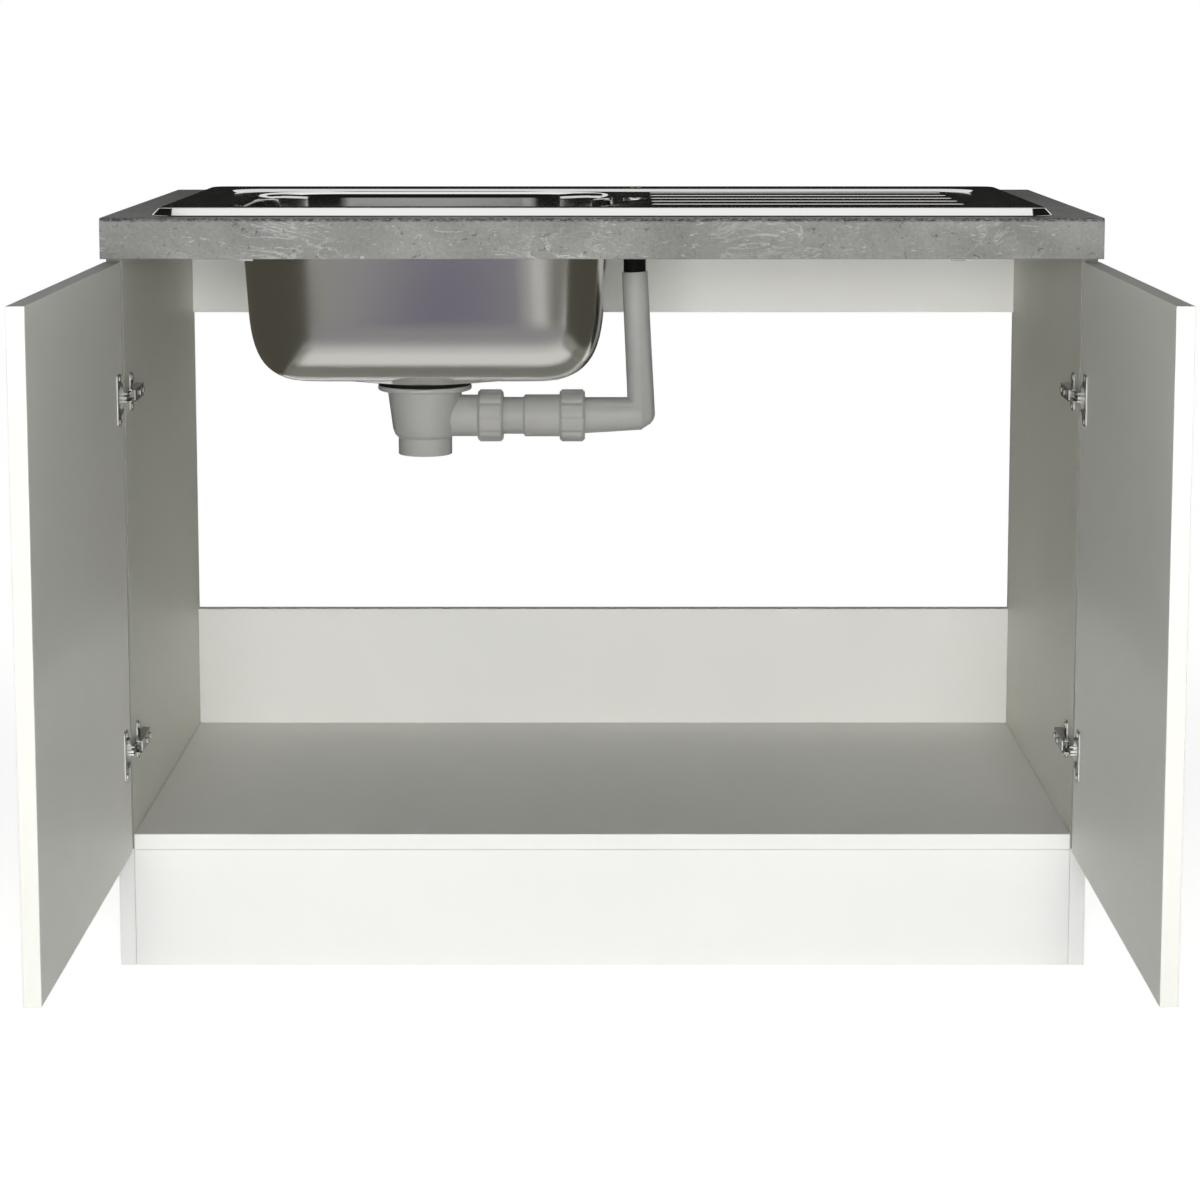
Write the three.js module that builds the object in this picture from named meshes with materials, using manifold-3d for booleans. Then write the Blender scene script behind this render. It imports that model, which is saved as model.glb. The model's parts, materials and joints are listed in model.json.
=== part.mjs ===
// Kitchen sink unit: a two-door base cabinet with a stone-decor worktop, an inset stainless sink
// with drainer, concealed cup hinges and a plastic waste and overflow set.
// Millimetres, +Z up, the doors to -Y. The origin is on the floor, at the middle of the footprint
// that the unit has with both doors open.
import * as THREE from "three";
import { mergeVertices } from "three/addons/utils/BufferGeometryUtils.js";
import Module from "manifold-3d";

const wasm = await Module();
wasm.setup();

// ---------------------------------------------------------------- driving dimensions
const SEAT = 0.3; // gap kept between two pieces that touch

// Cabinet
const UNIT_WIDTH = 1100;
const CARCASE_DEPTH = 570;
const CARCASE_HEIGHT = 811;
const PANEL = 18; // thickness of the side and base panels
const PLINTH_BOARD = 16;
const PLINTH_HEIGHT = 136;
const RAIL_BOARD = 16;
const TOP_RAIL_HEIGHT = 113;
const BOTTOM_RAIL_HEIGHT = 153;
const EDGE_RADIUS = 1; // rounded front edge of every board

// Worktop
const WORKTOP_THICKNESS = 45;
const WORKTOP_OVERHANG = 40;
const ARRIS_RADIUS = 5;
const CUTOUT_CORNER = 20;
const CUTOUT_MARGIN = 10; // from the edge of the sink's rim to the edge of the cut-out

// Doors
const DOOR_BOARD = 18;
const DOOR_SIDE_REVEAL = 1.5; // from the unit's side to the edge of a closed door
const DOOR_CENTRE_GAP = 3;
const DOOR_TOP_GAP = 5;
const DOOR_BACK_GAP = 2; // from a closed door to the front edges of the carcase
const PIVOT_FROM_SIDE = 4.95; // axis that the door swings about
const PIVOT_FROM_FRONT = 15.05;
const OPEN_ANGLE = 90;

// Hinges
const HINGE_FROM_DOOR_BOTTOM = 120;
const HINGE_SPACING = 400;
const CUP_RADIUS = 17.2;
const CUP_DEPTH = 11.5;
const CUP_WALL = 0.9;
const CUP_FROM_EDGE = 22.5; // from the door's edge to the middle of the cup
const CUP_BORE_CLEARANCE = 0.4;
const FLANGE_THICKNESS = 1.5;
const FLANGE_HEIGHT = 57;
const FLANGE_REACH = 22.9; // from the middle of the cup to the far edge of its flange
const FLANGE_CORNER = 5;
const FLANGE_CHAMFER = 0.4;
const CUP_COLLAR = 1.8; // width of the flange round the back of the cup
const CUP_SCREW_OFFSET = 11;
const CUP_SCREW_SPACING = 48;
const CUP_SCREW_RADIUS = 4;
const CUP_SCREW_HEIGHT = 1.2;
const CUP_SCREW_CHAMFER = 1;
const OUTER_PIN_FROM_EDGE = 10;
const OUTER_PIN_FROM_FACE = 6;
const OUTER_PIN_RADIUS = 1.25;
const INNER_PIN_FROM_EDGE = 14;
const INNER_PIN_FROM_FACE = 8;
const INNER_PIN_RADIUS = 1.1;
const LINK_WIDTH = 2.2;
const LINK_FOOT_RELIEF = 0.7; // keeps the foot of a link off the rim of the cup
const OUTER_EYE_RADIUS = 2.6;
const OUTER_LINK_REACH = 11;
const OUTER_LINK_LENGTH = 31;
const INNER_EYE_RADIUS = 2;
const INNER_LINK_REACH = 13;
const INNER_LINK_LENGTH = 28;
const INNER_LINK_HEIGHT = 3;
const EAR_THICKNESS = 1.2;
const CHEEK_THICKNESS = 1.8;
const LINK_PLAY = 0.35; // side play between links, ears and cheeks
const ARM_STEEL = 1.4;
const ARM_SIDE_CLEARANCE = 0.7;
const ARM_CHANNEL_TOP = 10.2; // from the side panel to the underside of the arm's back
const ARM_CHANNEL_FOOT = 2.4; // from the side panel to the free edges of the arm
const ARM_NOSE = 4; // how far the arm stands in front of the carcase
const ARM_MOUTH = 2.2; // where the back of the arm begins
const ARM_END = 64;
const ARM_CHAMFER = 3;
const RIB_START = 25;
const RIB_END = 72;
const RIB_HEIGHT = 9.3;
const WING_LINE = 37; // screws of the wing plate, from the front edge of the side panel
const WING_HEIGHT = 43;
const WING_DEPTH = 16;
const WING_THICKNESS = 2;
const WING_SCREW_SPACING = 32;
const WING_SCREW_RADIUS = 3.6;
const WING_SCREW_HEIGHT = 1.3;
const ARM_SCREW_FRONT = 31;
const ARM_SCREW_REAR = 54;
const ARM_SCREW_SHANK = 2;
const ARM_SCREW_HEAD = 3.6;
const ARM_SCREW_HEAD_HEIGHT = 1.6;

// Sink
const SINK_FROM_UNIT_SIDE = 50; // from the unit's side to the end of the sink
const SINK_WIDTH = 500;
const SINK_FROM_WORKTOP_FRONT = 25;
const SINK_CORNER = 26;
const SHEET = 1;
const RIM_RISE = 9;
const RIM_BEVEL = 8;
const RIM_CREST_BEVEL = 2;
const RIM_EDGE_HEIGHT = 0.8;
const RIM_EDGE_WALL = 1.2;
const RIM_EDGE_SKIN = 0.6; // thickness of the sheet where the bevel starts
const RIM_CREST_DROP = 0.4;
const RECESS_SIDE_MARGIN = 42; // from the edge of the rim to the sunken deck
const RECESS_FRONT_MARGIN = 42;
const RECESS_BACK_MARGIN = 76; // leaves the ledge for the tap
const RECESS_CORNER = 38;
const RECESS_DEPTH = 2.5;
const RECESS_SLOPE = 6;
const BOWL_FROM_RIM_END = 84; // from the left end of the rim to the bowl's mouth
const BOWL_FROM_RIM_FRONT = 60; // from the front edge of the rim to the bowl's mouth
const BOWL_LENGTH = 424.5;
const BOWL_WIDTH = 350;
const BOWL_DEPTH = 213.5;
const BOWL_CORNER = 80;
const BOWL_LEAST_CORNER = 22;
const BOWL_SHOULDER = 7;
const BOWL_DRAFT = 4;
const BOWL_FOOT_RADIUS = 58;
const BOWL_FALL = 9.3; // fall of the bowl's floor to the waste
const WASTE_FROM_BOWL_MIDDLE = -7.25; // along X, to the axis of the waste
const WASTE_SEAT_RADIUS = 60;
const WASTE_HOLE_RADIUS = 40.5;
const TAP_HOLE_RADIUS = 17.5;
const RIB_COUNT = 5;
const RIB_PITCH = 61;
const RIB_FROM_OVERFLOW = 17; // from the axis of the overflow to the near ends of the ribs
const RIB_FROM_RIM_END = 90;
const RIB_FROM_RIM_FRONT = 90;
const RIB_RISE = 2.4;
const RIB_HALF_WIDTH = 7;
const RIB_FLANK = 1.6;
const RIB_FLANK_RISE = 1.7;
const RIB_CREST = 4;
const SEAL_WIDTH = 3;
const SEAL_HEIGHT = 1.2;
const SEAL_INSET = 4.5; // from the seal to the edge of the cut-out
const CLIP_STEEL = 1.5;
const CLIP_WIDTH = 16;
const CLIP_INSET = 16.5; // from the edge of the rim to the clip's leg
const CLIP_FLANGE = 12;
const CLIP_HOOK = 9;
const CLIP_DROP = 5; // how far the leg hangs below the worktop
const CLIP_FRONT_FROM_END = 105; // from the end of the sink
const CLIP_BACK_FROM_END = 200;

// Brackets under the worktop
const BRACKET_LEG = 28;
const BRACKET_WIDTH = 16;
const BRACKET_STEEL = 2;
const BRACKET_SCREW_DROP = 17;
const BRACKET_FROM_FRONT = 440;
const BRACKET_RAIL_FROM_SIDE = 332; // from a side panel

// Waste and overflow set
const STRAINER_FLANGE_RADIUS = 57;
const STRAINER_FLANGE_THICKNESS = 1.6;
const STRAINER_CUP_RADIUS = 36.5;
const STRAINER_CUP_DEPTH = 22;
const STRAINER_SHEET = 1.2;
const STRAINER_SLOTS = 6;
const STRAINER_SLOT_RADIUS = 8;
const STRAINER_SLOT_CIRCLE = 21;
const STRAINER_BEVEL = 4;
const BASKET_FLANGE_RADIUS = 38.5;
const BASKET_RADIUS = 32;
const BASKET_DEPTH = 15;
const BASKET_HOLES = 10;
const BASKET_HOLE_RADIUS = 2.6;
const BASKET_HOLE_CIRCLES = [13.5, 23];
const BASKET_CHAMFER = 3;
const BASKET_KNOB_NECK = 4;
const BASKET_KNOB_LEVELS = [9, 11, 14, 15.5]; // heights above the foot of the basket
const BASKET_KNOB_RADIUS = 7;
const CENTRE_SCREW_RADIUS = 3;
const CENTRE_SCREW_HEAD = 6;
const CENTRE_SCREW_HEAD_HEIGHT = 2.2;
const CENTRE_SCREW_CHAMFER = 1.2;
const CENTRE_SCREW_TIP = 3; // from the foot of the boss to the tip
const GASKET_THICKNESS = 4.4;
const GASKET_RADIUS = 55;
const GASKET_BORE = 42;
const BODY_FLANGE_RADIUS = 55.5;
const BODY_FLANGE_HEIGHT = 6;
const BODY_TOP_RADIUS = 44.3;
const BODY_FOOT_RADIUS = 38.3;
const BODY_HEIGHT = 83; // from the flange's top to the outlet's end
const BODY_WALL = 3;
const BODY_FLANGE_CHAMFER = 1.5;
const BODY_SHOULDER = 11; // from the outlet's neck to the straight wall
const BODY_SHOULDER_KNEE = 4;
const BODY_SHOULDER_INSET = 2.5;
const BODY_NECK_WALL = 1;
const OUTLET_RADIUS = 31.8;
const OUTLET_HEIGHT = 20;
const BRIDGE_WIDTH = 8;
const BRIDGE_HEIGHT = 6;
const BOSS_RADIUS = 7;
const BOSS_HEIGHT = 16;
const SIDE_AXIS_DROP = 37.3; // from the flange's top to the axis of the side stub
const STUB_RADIUS = 24.75;
const STUB_BORE = 20;
const STUB_END = 76; // along X from the waste's axis
const NUT_RADIUS = 31;
const NUT_LOBES = 10;
const NUT_LOBE_DEPTH = 1.5;
const NUT_CHAMFER = 3;
const NUT_LENGTH = 30;
const NUT_CLEARANCE = 0.35;
const NUT_LIP = 4;
const NUT_ONE_START = 63;
const NUT_TWO_START = 160;
const ADAPTER_TUBE_RADIUS = 22;
const ADAPTER_SOCKET_RADIUS = 25;
const ADAPTER_SOCKET_START = 119;
const ADAPTER_SOCKET_END = 176;
const ADAPTER_WALL = 3.2;
const ADAPTER_SLOPE = 2;
const ADAPTER_SOCKET_STOP = 6; // from the socket's shoulder to its inner step
const SEAL_RING_LENGTH = 4;
const PIPE_RADIUS = 21.75;
const PIPE_CORNER_RADIUS = 19.4;
const PIPE_WALL = 2.4;
const PIPE_END_PLAY = 0.7; // its end face is slightly oblique
const LEG_FOOT_RADIUS = 16;
const LEG_TOP_RADIUS = 15.2;
const LEG_LEAN = 8.3; // how far the leg's foot lies beyond its top
const LEG_TOP_DROP = 34; // from the worktop's underside to the pipe's open end
const LEG_WALL = 2;
const KNEE_REACH = 11.2;
const KNEE_END_RADIUS = 12;
const OVERFLOW_FROM_BOWL = 29.5; // from the bowl's mouth to the axis of the overflow
const OVERFLOW_HOLE_RADIUS = 10;
const SLEEVE_SPIGOT_RADIUS = 12;
const SLEEVE_NECK_RADIUS = 13.1;
const SLEEVE_FUNNEL_RADIUS = 15;
const SLEEVE_SPIGOT_LENGTH = 14;
const SLEEVE_NECK_LENGTH = 13;
const SLEEVE_FUNNEL_HEIGHT = 14;
const SLEEVE_WALL = 2;
const ROSETTE_RADIUS = 14.5;
const ROSETTE_THICKNESS = 1.2;
const ROSETTE_THROAT = 9.4;
const ROSETTE_DEPTH = 9;
const ROSETTE_BAR = 2.4;
const ROSETTE_WALL = 1;
const ROSETTE_BAR_DROP = 0.2;

// Smoothness
const ROUND = 20; // sides of a large turned piece
const MEDIUM_ROUND = 16; // sides of a cup, pipe or strainer
const SMALL_ROUND = 8; // sides of a pin or a screw
const CORNER_STEPS = 5; // steps of a rounded corner in a lofted ring
const FOOT_STEPS = 4;
const SHOULDER_STEPS = 2;
const CUT_PAST = 1; // how far a cutting shape runs past the face that it opens

// ---------------------------------------------------------------- derived places
const SIDE = UNIT_WIDTH / 2;
const INSIDE_WIDTH = UNIT_WIDTH - 2 * PANEL;
const BASE_TOP = PLINTH_HEIGHT + PANEL;
const WORKTOP_TOP = CARCASE_HEIGHT + WORKTOP_THICKNESS;
const DOOR_WIDTH = SIDE - DOOR_SIDE_REVEAL - DOOR_CENTRE_GAP / 2;
const DOOR_HEIGHT = CARCASE_HEIGHT - DOOR_TOP_GAP - PLINTH_HEIGHT;
const DOOR_FACE = -DOOR_BACK_GAP; // inner face of a closed door, along Y from the carcase front
const HINGE_HEIGHTS = [0, 1].map((i) => PLINTH_HEIGHT + HINGE_FROM_DOOR_BOTTOM + i * HINGE_SPACING);
const SINK_LENGTH = UNIT_WIDTH - 2 * SINK_FROM_UNIT_SIDE;
const RIM_FRONT = SINK_FROM_WORKTOP_FRONT - WORKTOP_OVERHANG;
const SINK_MIDDLE = RIM_FRONT + SINK_WIDTH / 2;
const RIM_TOP = WORKTOP_TOP + RIM_RISE;
const DECK = RIM_TOP - RECESS_DEPTH; // top face of the sunken deck
const BOWL_X = -SINK_LENGTH / 2 + BOWL_FROM_RIM_END + BOWL_LENGTH / 2;
const BOWL_MIDDLE = RIM_FRONT + BOWL_FROM_RIM_FRONT + BOWL_WIDTH / 2;
const WASTE_X = BOWL_X + WASTE_FROM_BOWL_MIDDLE;
const OVERFLOW_X = BOWL_X + BOWL_LENGTH / 2 + OVERFLOW_FROM_BOWL;
const OVERFLOW_REACH = OVERFLOW_X - WASTE_X;
const RIB_ENDS = [OVERFLOW_X + RIB_FROM_OVERFLOW, SINK_LENGTH / 2 - RIB_FROM_RIM_END];
const BOWL_FLOOR = DECK - BOWL_DEPTH + BOWL_FALL; // edge of the floor, inside
const WASTE_SEAT = DECK - BOWL_DEPTH; // middle of the floor, inside
const BODY_TOP = WASTE_SEAT - SHEET - SEAT - GASKET_THICKNESS - SEAT;
const SIDE_AXIS = BODY_TOP - SIDE_AXIS_DROP;
const LEG_TOP = CARCASE_HEIGHT - LEG_TOP_DROP;

const radians = THREE.MathUtils.degToRad;

// ---------------------------------------------------------------- materials
const paint = (color, roughness, metalness) => () =>
  new THREE.MeshStandardMaterial({ color, roughness, metalness });
const whiteBoard = paint(0xf2f2ee, 0.45, 0);
const stoneDecor = paint(0x8e8f8a, 0.5, 0);
const stainless = paint(0xb9b8b5, 0.22, 1);
const nickel = paint(0xc9c8c2, 0.25, 1);
const greyPlastic = paint(0x9d9d97, 0.5, 0);
const blackRubber = paint(0x111111, 0.8, 0);

// ---------------------------------------------------------------- solids
// Signed volume of an indexed geometry: negative where its faces point inwards.
function signedVolume(positions, triangles) {
  const [a, b, c] = [new THREE.Vector3(), new THREE.Vector3(), new THREE.Vector3()];
  let total = 0;
  for (let i = 0; i < triangles.length; i += 3) {
    a.fromArray(positions, 3 * triangles[i]);
    b.fromArray(positions, 3 * triangles[i + 1]);
    c.fromArray(positions, 3 * triangles[i + 2]);
    total += a.dot(b.cross(c)) / 6;
  }
  return total;
}

// A closed geometry as a solid that can be cut and joined.
function solid(geometry) {
  const bare = geometry.clone();
  bare.deleteAttribute("normal");
  bare.deleteAttribute("uv");
  const merged = mergeVertices(bare, 1e-4);
  const vertProperties = new Float32Array(merged.attributes.position.array);
  const kept = [];
  for (let i = 0; i < merged.index.count; i += 3) {
    const [a, b, c] = [0, 1, 2].map((k) => merged.index.getX(i + k));
    if (a !== b && b !== c && c !== a) kept.push(a, b, c);
  }
  if (signedVolume(vertProperties, kept) < 0) kept.reverse();
  return new wasm.Manifold(new wasm.Mesh({ numProp: 3, vertProperties, triVerts: new Uint32Array(kept) }));
}

const join = (...geometries) => geometries.map(solid).reduce((whole, next) => whole.add(next));

// The first argument, a solid, with every geometry that follows cut away.
const cut = (whole, ...tools) => tools.map(solid).reduce((left, tool) => left.subtract(tool), whole);

function geometryOf(manifold) {
  const { vertProperties, triVerts, numProp } = manifold.getMesh();
  const positions = [];
  for (let i = 0; i < vertProperties.length; i += numProp) {
    positions.push(...vertProperties.subarray(i, i + 3));
  }
  const geometry = new THREE.BufferGeometry();
  geometry.setAttribute("position", new THREE.Float32BufferAttribute(positions, 3));
  geometry.setIndex([...triVerts]);
  const flat = geometry.toNonIndexed();
  flat.computeVertexNormals();
  return flat;
}

function mesh(name, shape, material) {
  const geometry = shape.isBufferGeometry ? geometryOf(solid(shape)) : geometryOf(shape);
  const made = new THREE.Mesh(geometry, material());
  made.name = name;
  return made;
}

// ---------------------------------------------------------------- shapes
const block = ([x0, x1], [y0, y1], [z0, z1]) =>
  new THREE.BoxGeometry(x1 - x0, y1 - y0, z1 - z0).translate((x0 + x1) / 2, (y0 + y1) / 2, (z0 + z1) / 2);

// A rectangle whose corners are rounded by their own radii: front left, front right, back right, back left.
function rectangle([x0, x1], [y0, y1], [a, b, c, d]) {
  const shape = new THREE.Shape();
  shape.moveTo(x0 + a, y0);
  shape.lineTo(x1 - b, y0);
  if (b) shape.absarc(x1 - b, y0 + b, b, -Math.PI / 2, 0);
  shape.lineTo(x1, y1 - c);
  if (c) shape.absarc(x1 - c, y1 - c, c, 0, Math.PI / 2);
  shape.lineTo(x0 + d, y1);
  if (d) shape.absarc(x0 + d, y1 - d, d, Math.PI / 2, Math.PI);
  shape.lineTo(x0, y0 + a);
  if (a) shape.absarc(x0 + a, y0 + a, a, Math.PI, 1.5 * Math.PI);
  return shape;
}

// An outline in XY raised from z0 to z1.
function upright(shape, [z0, z1], curveSegments = 4) {
  const settings = { depth: z1 - z0, bevelEnabled: false, curveSegments };
  return new THREE.ExtrudeGeometry(shape, settings).translate(0, 0, z0);
}

// An outline drawn in YZ and drawn out from x0 to x1.
const alongX = (shape, [x0, x1], curveSegments = 4) =>
  upright(shape, [x0, x1], curveSegments).rotateY(Math.PI / 2).rotateX(Math.PI / 2);

// A profile of [radius, height] points turned about Z.
const turned = (profile, sides = ROUND) =>
  new THREE.LatheGeometry(profile.map(([r, h]) => new THREE.Vector2(r, h)), sides).rotateX(Math.PI / 2);

// Cylinders and cones between two points of their axis.
function rod([x0, y0, z0], [x1, y1, z1], r0, r1 = r0, sides = SMALL_ROUND) {
  const from = new THREE.Vector3(x0, y0, z0);
  const along = new THREE.Vector3(x1, y1, z1).sub(from);
  const up = new THREE.Vector3(0, 1, 0);
  const turn = new THREE.Quaternion().setFromUnitVectors(up, along.clone().normalize());
  const middle = from.clone().addScaledVector(along, 0.5);
  return new THREE.CylinderGeometry(r1, r0, along.length(), sides)
    .applyQuaternion(turn)
    .translate(middle.x, middle.y, middle.z);
}

// One ring of a loft: a rounded rectangle at height z, which is a circle where both halves equal the radius.
function roundedRing([x, y], [halfX, halfY], radius, z, steps = CORNER_STEPS) {
  const ring = [];
  [[1, 1], [-1, 1], [-1, -1], [1, -1]].forEach(([sx, sy], corner) => {
    for (let i = 0; i <= steps; i++) {
      const angle = (corner + i / steps) * (Math.PI / 2);
      ring.push(
        new THREE.Vector3(
          x + sx * (halfX - radius) + radius * Math.cos(angle),
          y + sy * (halfY - radius) + radius * Math.sin(angle),
          z,
        ),
      );
    }
  });
  return ring;
}

// A closed skin over rings of equal count, capped by a fan at both ends.
function loft(rings) {
  const count = rings[0].length;
  const middleOf = (ring) => ring.reduce((sum, p) => sum.add(p), new THREE.Vector3()).divideScalar(count);
  const points = [...rings.flat(), middleOf(rings[0]), middleOf(rings.at(-1))];
  const [firstMiddle, lastMiddle] = [points.length - 2, points.length - 1];
  const lastRing = (rings.length - 1) * count;
  const index = [];
  for (let i = 0; i < count; i++) {
    const next = (i + 1) % count;
    for (let base = 0; base < lastRing; base += count) {
      index.push(base + i, base + next, base + count + next);
      index.push(base + i, base + count + next, base + count + i);
    }
    index.push(firstMiddle, next, i);
    index.push(lastMiddle, lastRing + i, lastRing + next);
  }
  const geometry = new THREE.BufferGeometry().setFromPoints(points);
  geometry.setIndex(index);
  return geometry;
}

// ---------------------------------------------------------------- cabinet
// In this group Y counts from the front edges of the carcase, backwards.
function sidePanel(name) {
  const front = [EDGE_RADIUS, EDGE_RADIUS, 0, 0];
  const board = rectangle([0, PANEL], [0, CARCASE_DEPTH], front);
  return mesh(name, upright(board, [0, CARCASE_HEIGHT - SEAT]), whiteBoard);
}

// A board between the side panels, with its rounded front edge, drawn as its section in YZ.
function crossBoard(name, [y0, y1], [z0, z1], rounded) {
  const half = INSIDE_WIDTH / 2 - SEAT;
  const radii = rounded.map((is) => (is ? EDGE_RADIUS : 0));
  return mesh(name, alongX(rectangle([y0, y1], [z0, z1], radii), [-half, half]), whiteBoard);
}

function carcase() {
  const group = new THREE.Group();
  const railFront = CARCASE_DEPTH - RAIL_BOARD;
  group.add(
    crossBoard("plinth_board", [0, PLINTH_BOARD], [0, PLINTH_HEIGHT - SEAT], [true, false, false, false]),
    crossBoard("base_panel", [0, CARCASE_DEPTH], [PLINTH_HEIGHT, BASE_TOP], [false, false, false, true]),
    crossBoard(
      "back_rail_bottom",
      [railFront, CARCASE_DEPTH],
      [BASE_TOP + SEAT, BASE_TOP + BOTTOM_RAIL_HEIGHT],
      [false, false, false, true],
    ),
    crossBoard(
      "back_rail_top",
      [railFront, CARCASE_DEPTH],
      [CARCASE_HEIGHT - TOP_RAIL_HEIGHT, CARCASE_HEIGHT - SEAT],
      [true, false, false, false],
    ),
  );
  return group;
}

function worktop() {
  const section = rectangle(
    [-WORKTOP_OVERHANG, CARCASE_DEPTH],
    [CARCASE_HEIGHT, WORKTOP_TOP],
    [EDGE_RADIUS, 0, 0, ARRIS_RADIUS],
  );
  const slab = solid(alongX(section, [-SIDE, SIDE], 6));
  const halfX = SINK_LENGTH / 2 - CUTOUT_MARGIN;
  const halfY = SINK_WIDTH / 2 - CUTOUT_MARGIN;
  const opening = rectangle(
    [-halfX, halfX],
    [SINK_MIDDLE - halfY, SINK_MIDDLE + halfY],
    Array(4).fill(CUTOUT_CORNER),
  );
  const cutOut = upright(opening, [CARCASE_HEIGHT - CUT_PAST, WORKTOP_TOP + CUT_PAST], 5);
  return mesh("worktop", cut(slab, cutOut), stoneDecor);
}

// An angle bracket: one leg on an upright face, the other under the worktop. It stands at the
// origin, reaching to +X.
function bracket(name) {
  const outline = new THREE.Shape([
    new THREE.Vector2(SEAT, -BRACKET_LEG),
    new THREE.Vector2(SEAT + BRACKET_STEEL, -BRACKET_LEG),
    new THREE.Vector2(SEAT + BRACKET_STEEL, -BRACKET_STEEL - SEAT),
    new THREE.Vector2(BRACKET_LEG, -BRACKET_STEEL - SEAT),
    new THREE.Vector2(BRACKET_LEG, -SEAT),
    new THREE.Vector2(SEAT, -SEAT),
  ]);
  const leg = upright(outline, [-BRACKET_WIDTH / 2, BRACKET_WIDTH / 2]).rotateX(Math.PI / 2);
  const screw = rod(
    [SEAT + BRACKET_STEEL / 2, 0, -BRACKET_SCREW_DROP],
    [SEAT + BRACKET_STEEL + WING_SCREW_HEIGHT, 0, -BRACKET_SCREW_DROP],
    WING_SCREW_RADIUS,
  );
  return mesh(name, join(leg, screw), nickel);
}

function worktopBrackets() {
  const group = new THREE.Group();
  const panel = INSIDE_WIDTH / 2;
  const onRail = panel - BRACKET_RAIL_FROM_SIDE;
  const places = [
    ["worktop_bracket_left", -panel, BRACKET_FROM_FRONT, 0],
    ["worktop_bracket_right", panel, BRACKET_FROM_FRONT, Math.PI],
    ["worktop_bracket_rail_left", -onRail, CARCASE_DEPTH - RAIL_BOARD, -Math.PI / 2],
    ["worktop_bracket_rail_right", onRail, CARCASE_DEPTH - RAIL_BOARD, -Math.PI / 2],
  ];
  for (const [name, x, y, turn] of places) {
    const piece = bracket(name);
    piece.position.set(x, y, CARCASE_HEIGHT);
    piece.rotation.z = turn;
    group.add(piece);
  }
  return group;
}

// ---------------------------------------------------------------- doors and hinges
// One side of the unit, drawn as the left one: X counts from the unit's outer side inwards.
const CUP_X = DOOR_SIDE_REVEAL + CUP_FROM_EDGE;

function door(name) {
  const edges = [DOOR_SIDE_REVEAL, DOOR_SIDE_REVEAL + DOOR_WIDTH];
  const board = rectangle(edges, [DOOR_FACE - DOOR_BOARD, DOOR_FACE], Array(4).fill(EDGE_RADIUS));
  const panel = solid(upright(board, [PLINTH_HEIGHT, PLINTH_HEIGHT + DOOR_HEIGHT], 3));
  const bores = HINGE_HEIGHTS.map((z) =>
    rod(
      [CUP_X, DOOR_FACE - CUP_DEPTH - CUP_BORE_CLEARANCE, z],
      [CUP_X, DOOR_FACE + CUT_PAST, z],
      CUP_RADIUS + CUP_BORE_CLEARANCE,
      undefined,
      MEDIUM_ROUND,
    ),
  );
  return mesh(name, cut(panel, ...bores), whiteBoard);
}

// Where the door's frame meets the carcase's: a point of the closed door, swung open about its axis.
function swungOpen(x, y) {
  const turn = -radians(OPEN_ANGLE);
  const [dx, dy] = [x - PIVOT_FROM_SIDE, y + PIVOT_FROM_FRONT];
  return [
    PIVOT_FROM_SIDE + dx * Math.cos(turn) - dy * Math.sin(turn),
    -PIVOT_FROM_FRONT + dx * Math.sin(turn) + dy * Math.cos(turn),
  ];
}

const INNER_HALF = INNER_LINK_HEIGHT / 2;
const EAR_START = INNER_HALF + LINK_PLAY;
const EAR_END = EAR_START + EAR_THICKNESS;
const CHEEK_START = EAR_END + LINK_PLAY;
const CHEEK_END = CHEEK_START + CHEEK_THICKNESS;
const ARM_HALF = CHEEK_END + ARM_SIDE_CLEARANCE;
const bothSides = ([z0, z1]) => [
  [z0, z1],
  [-z1, -z0],
];

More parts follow.
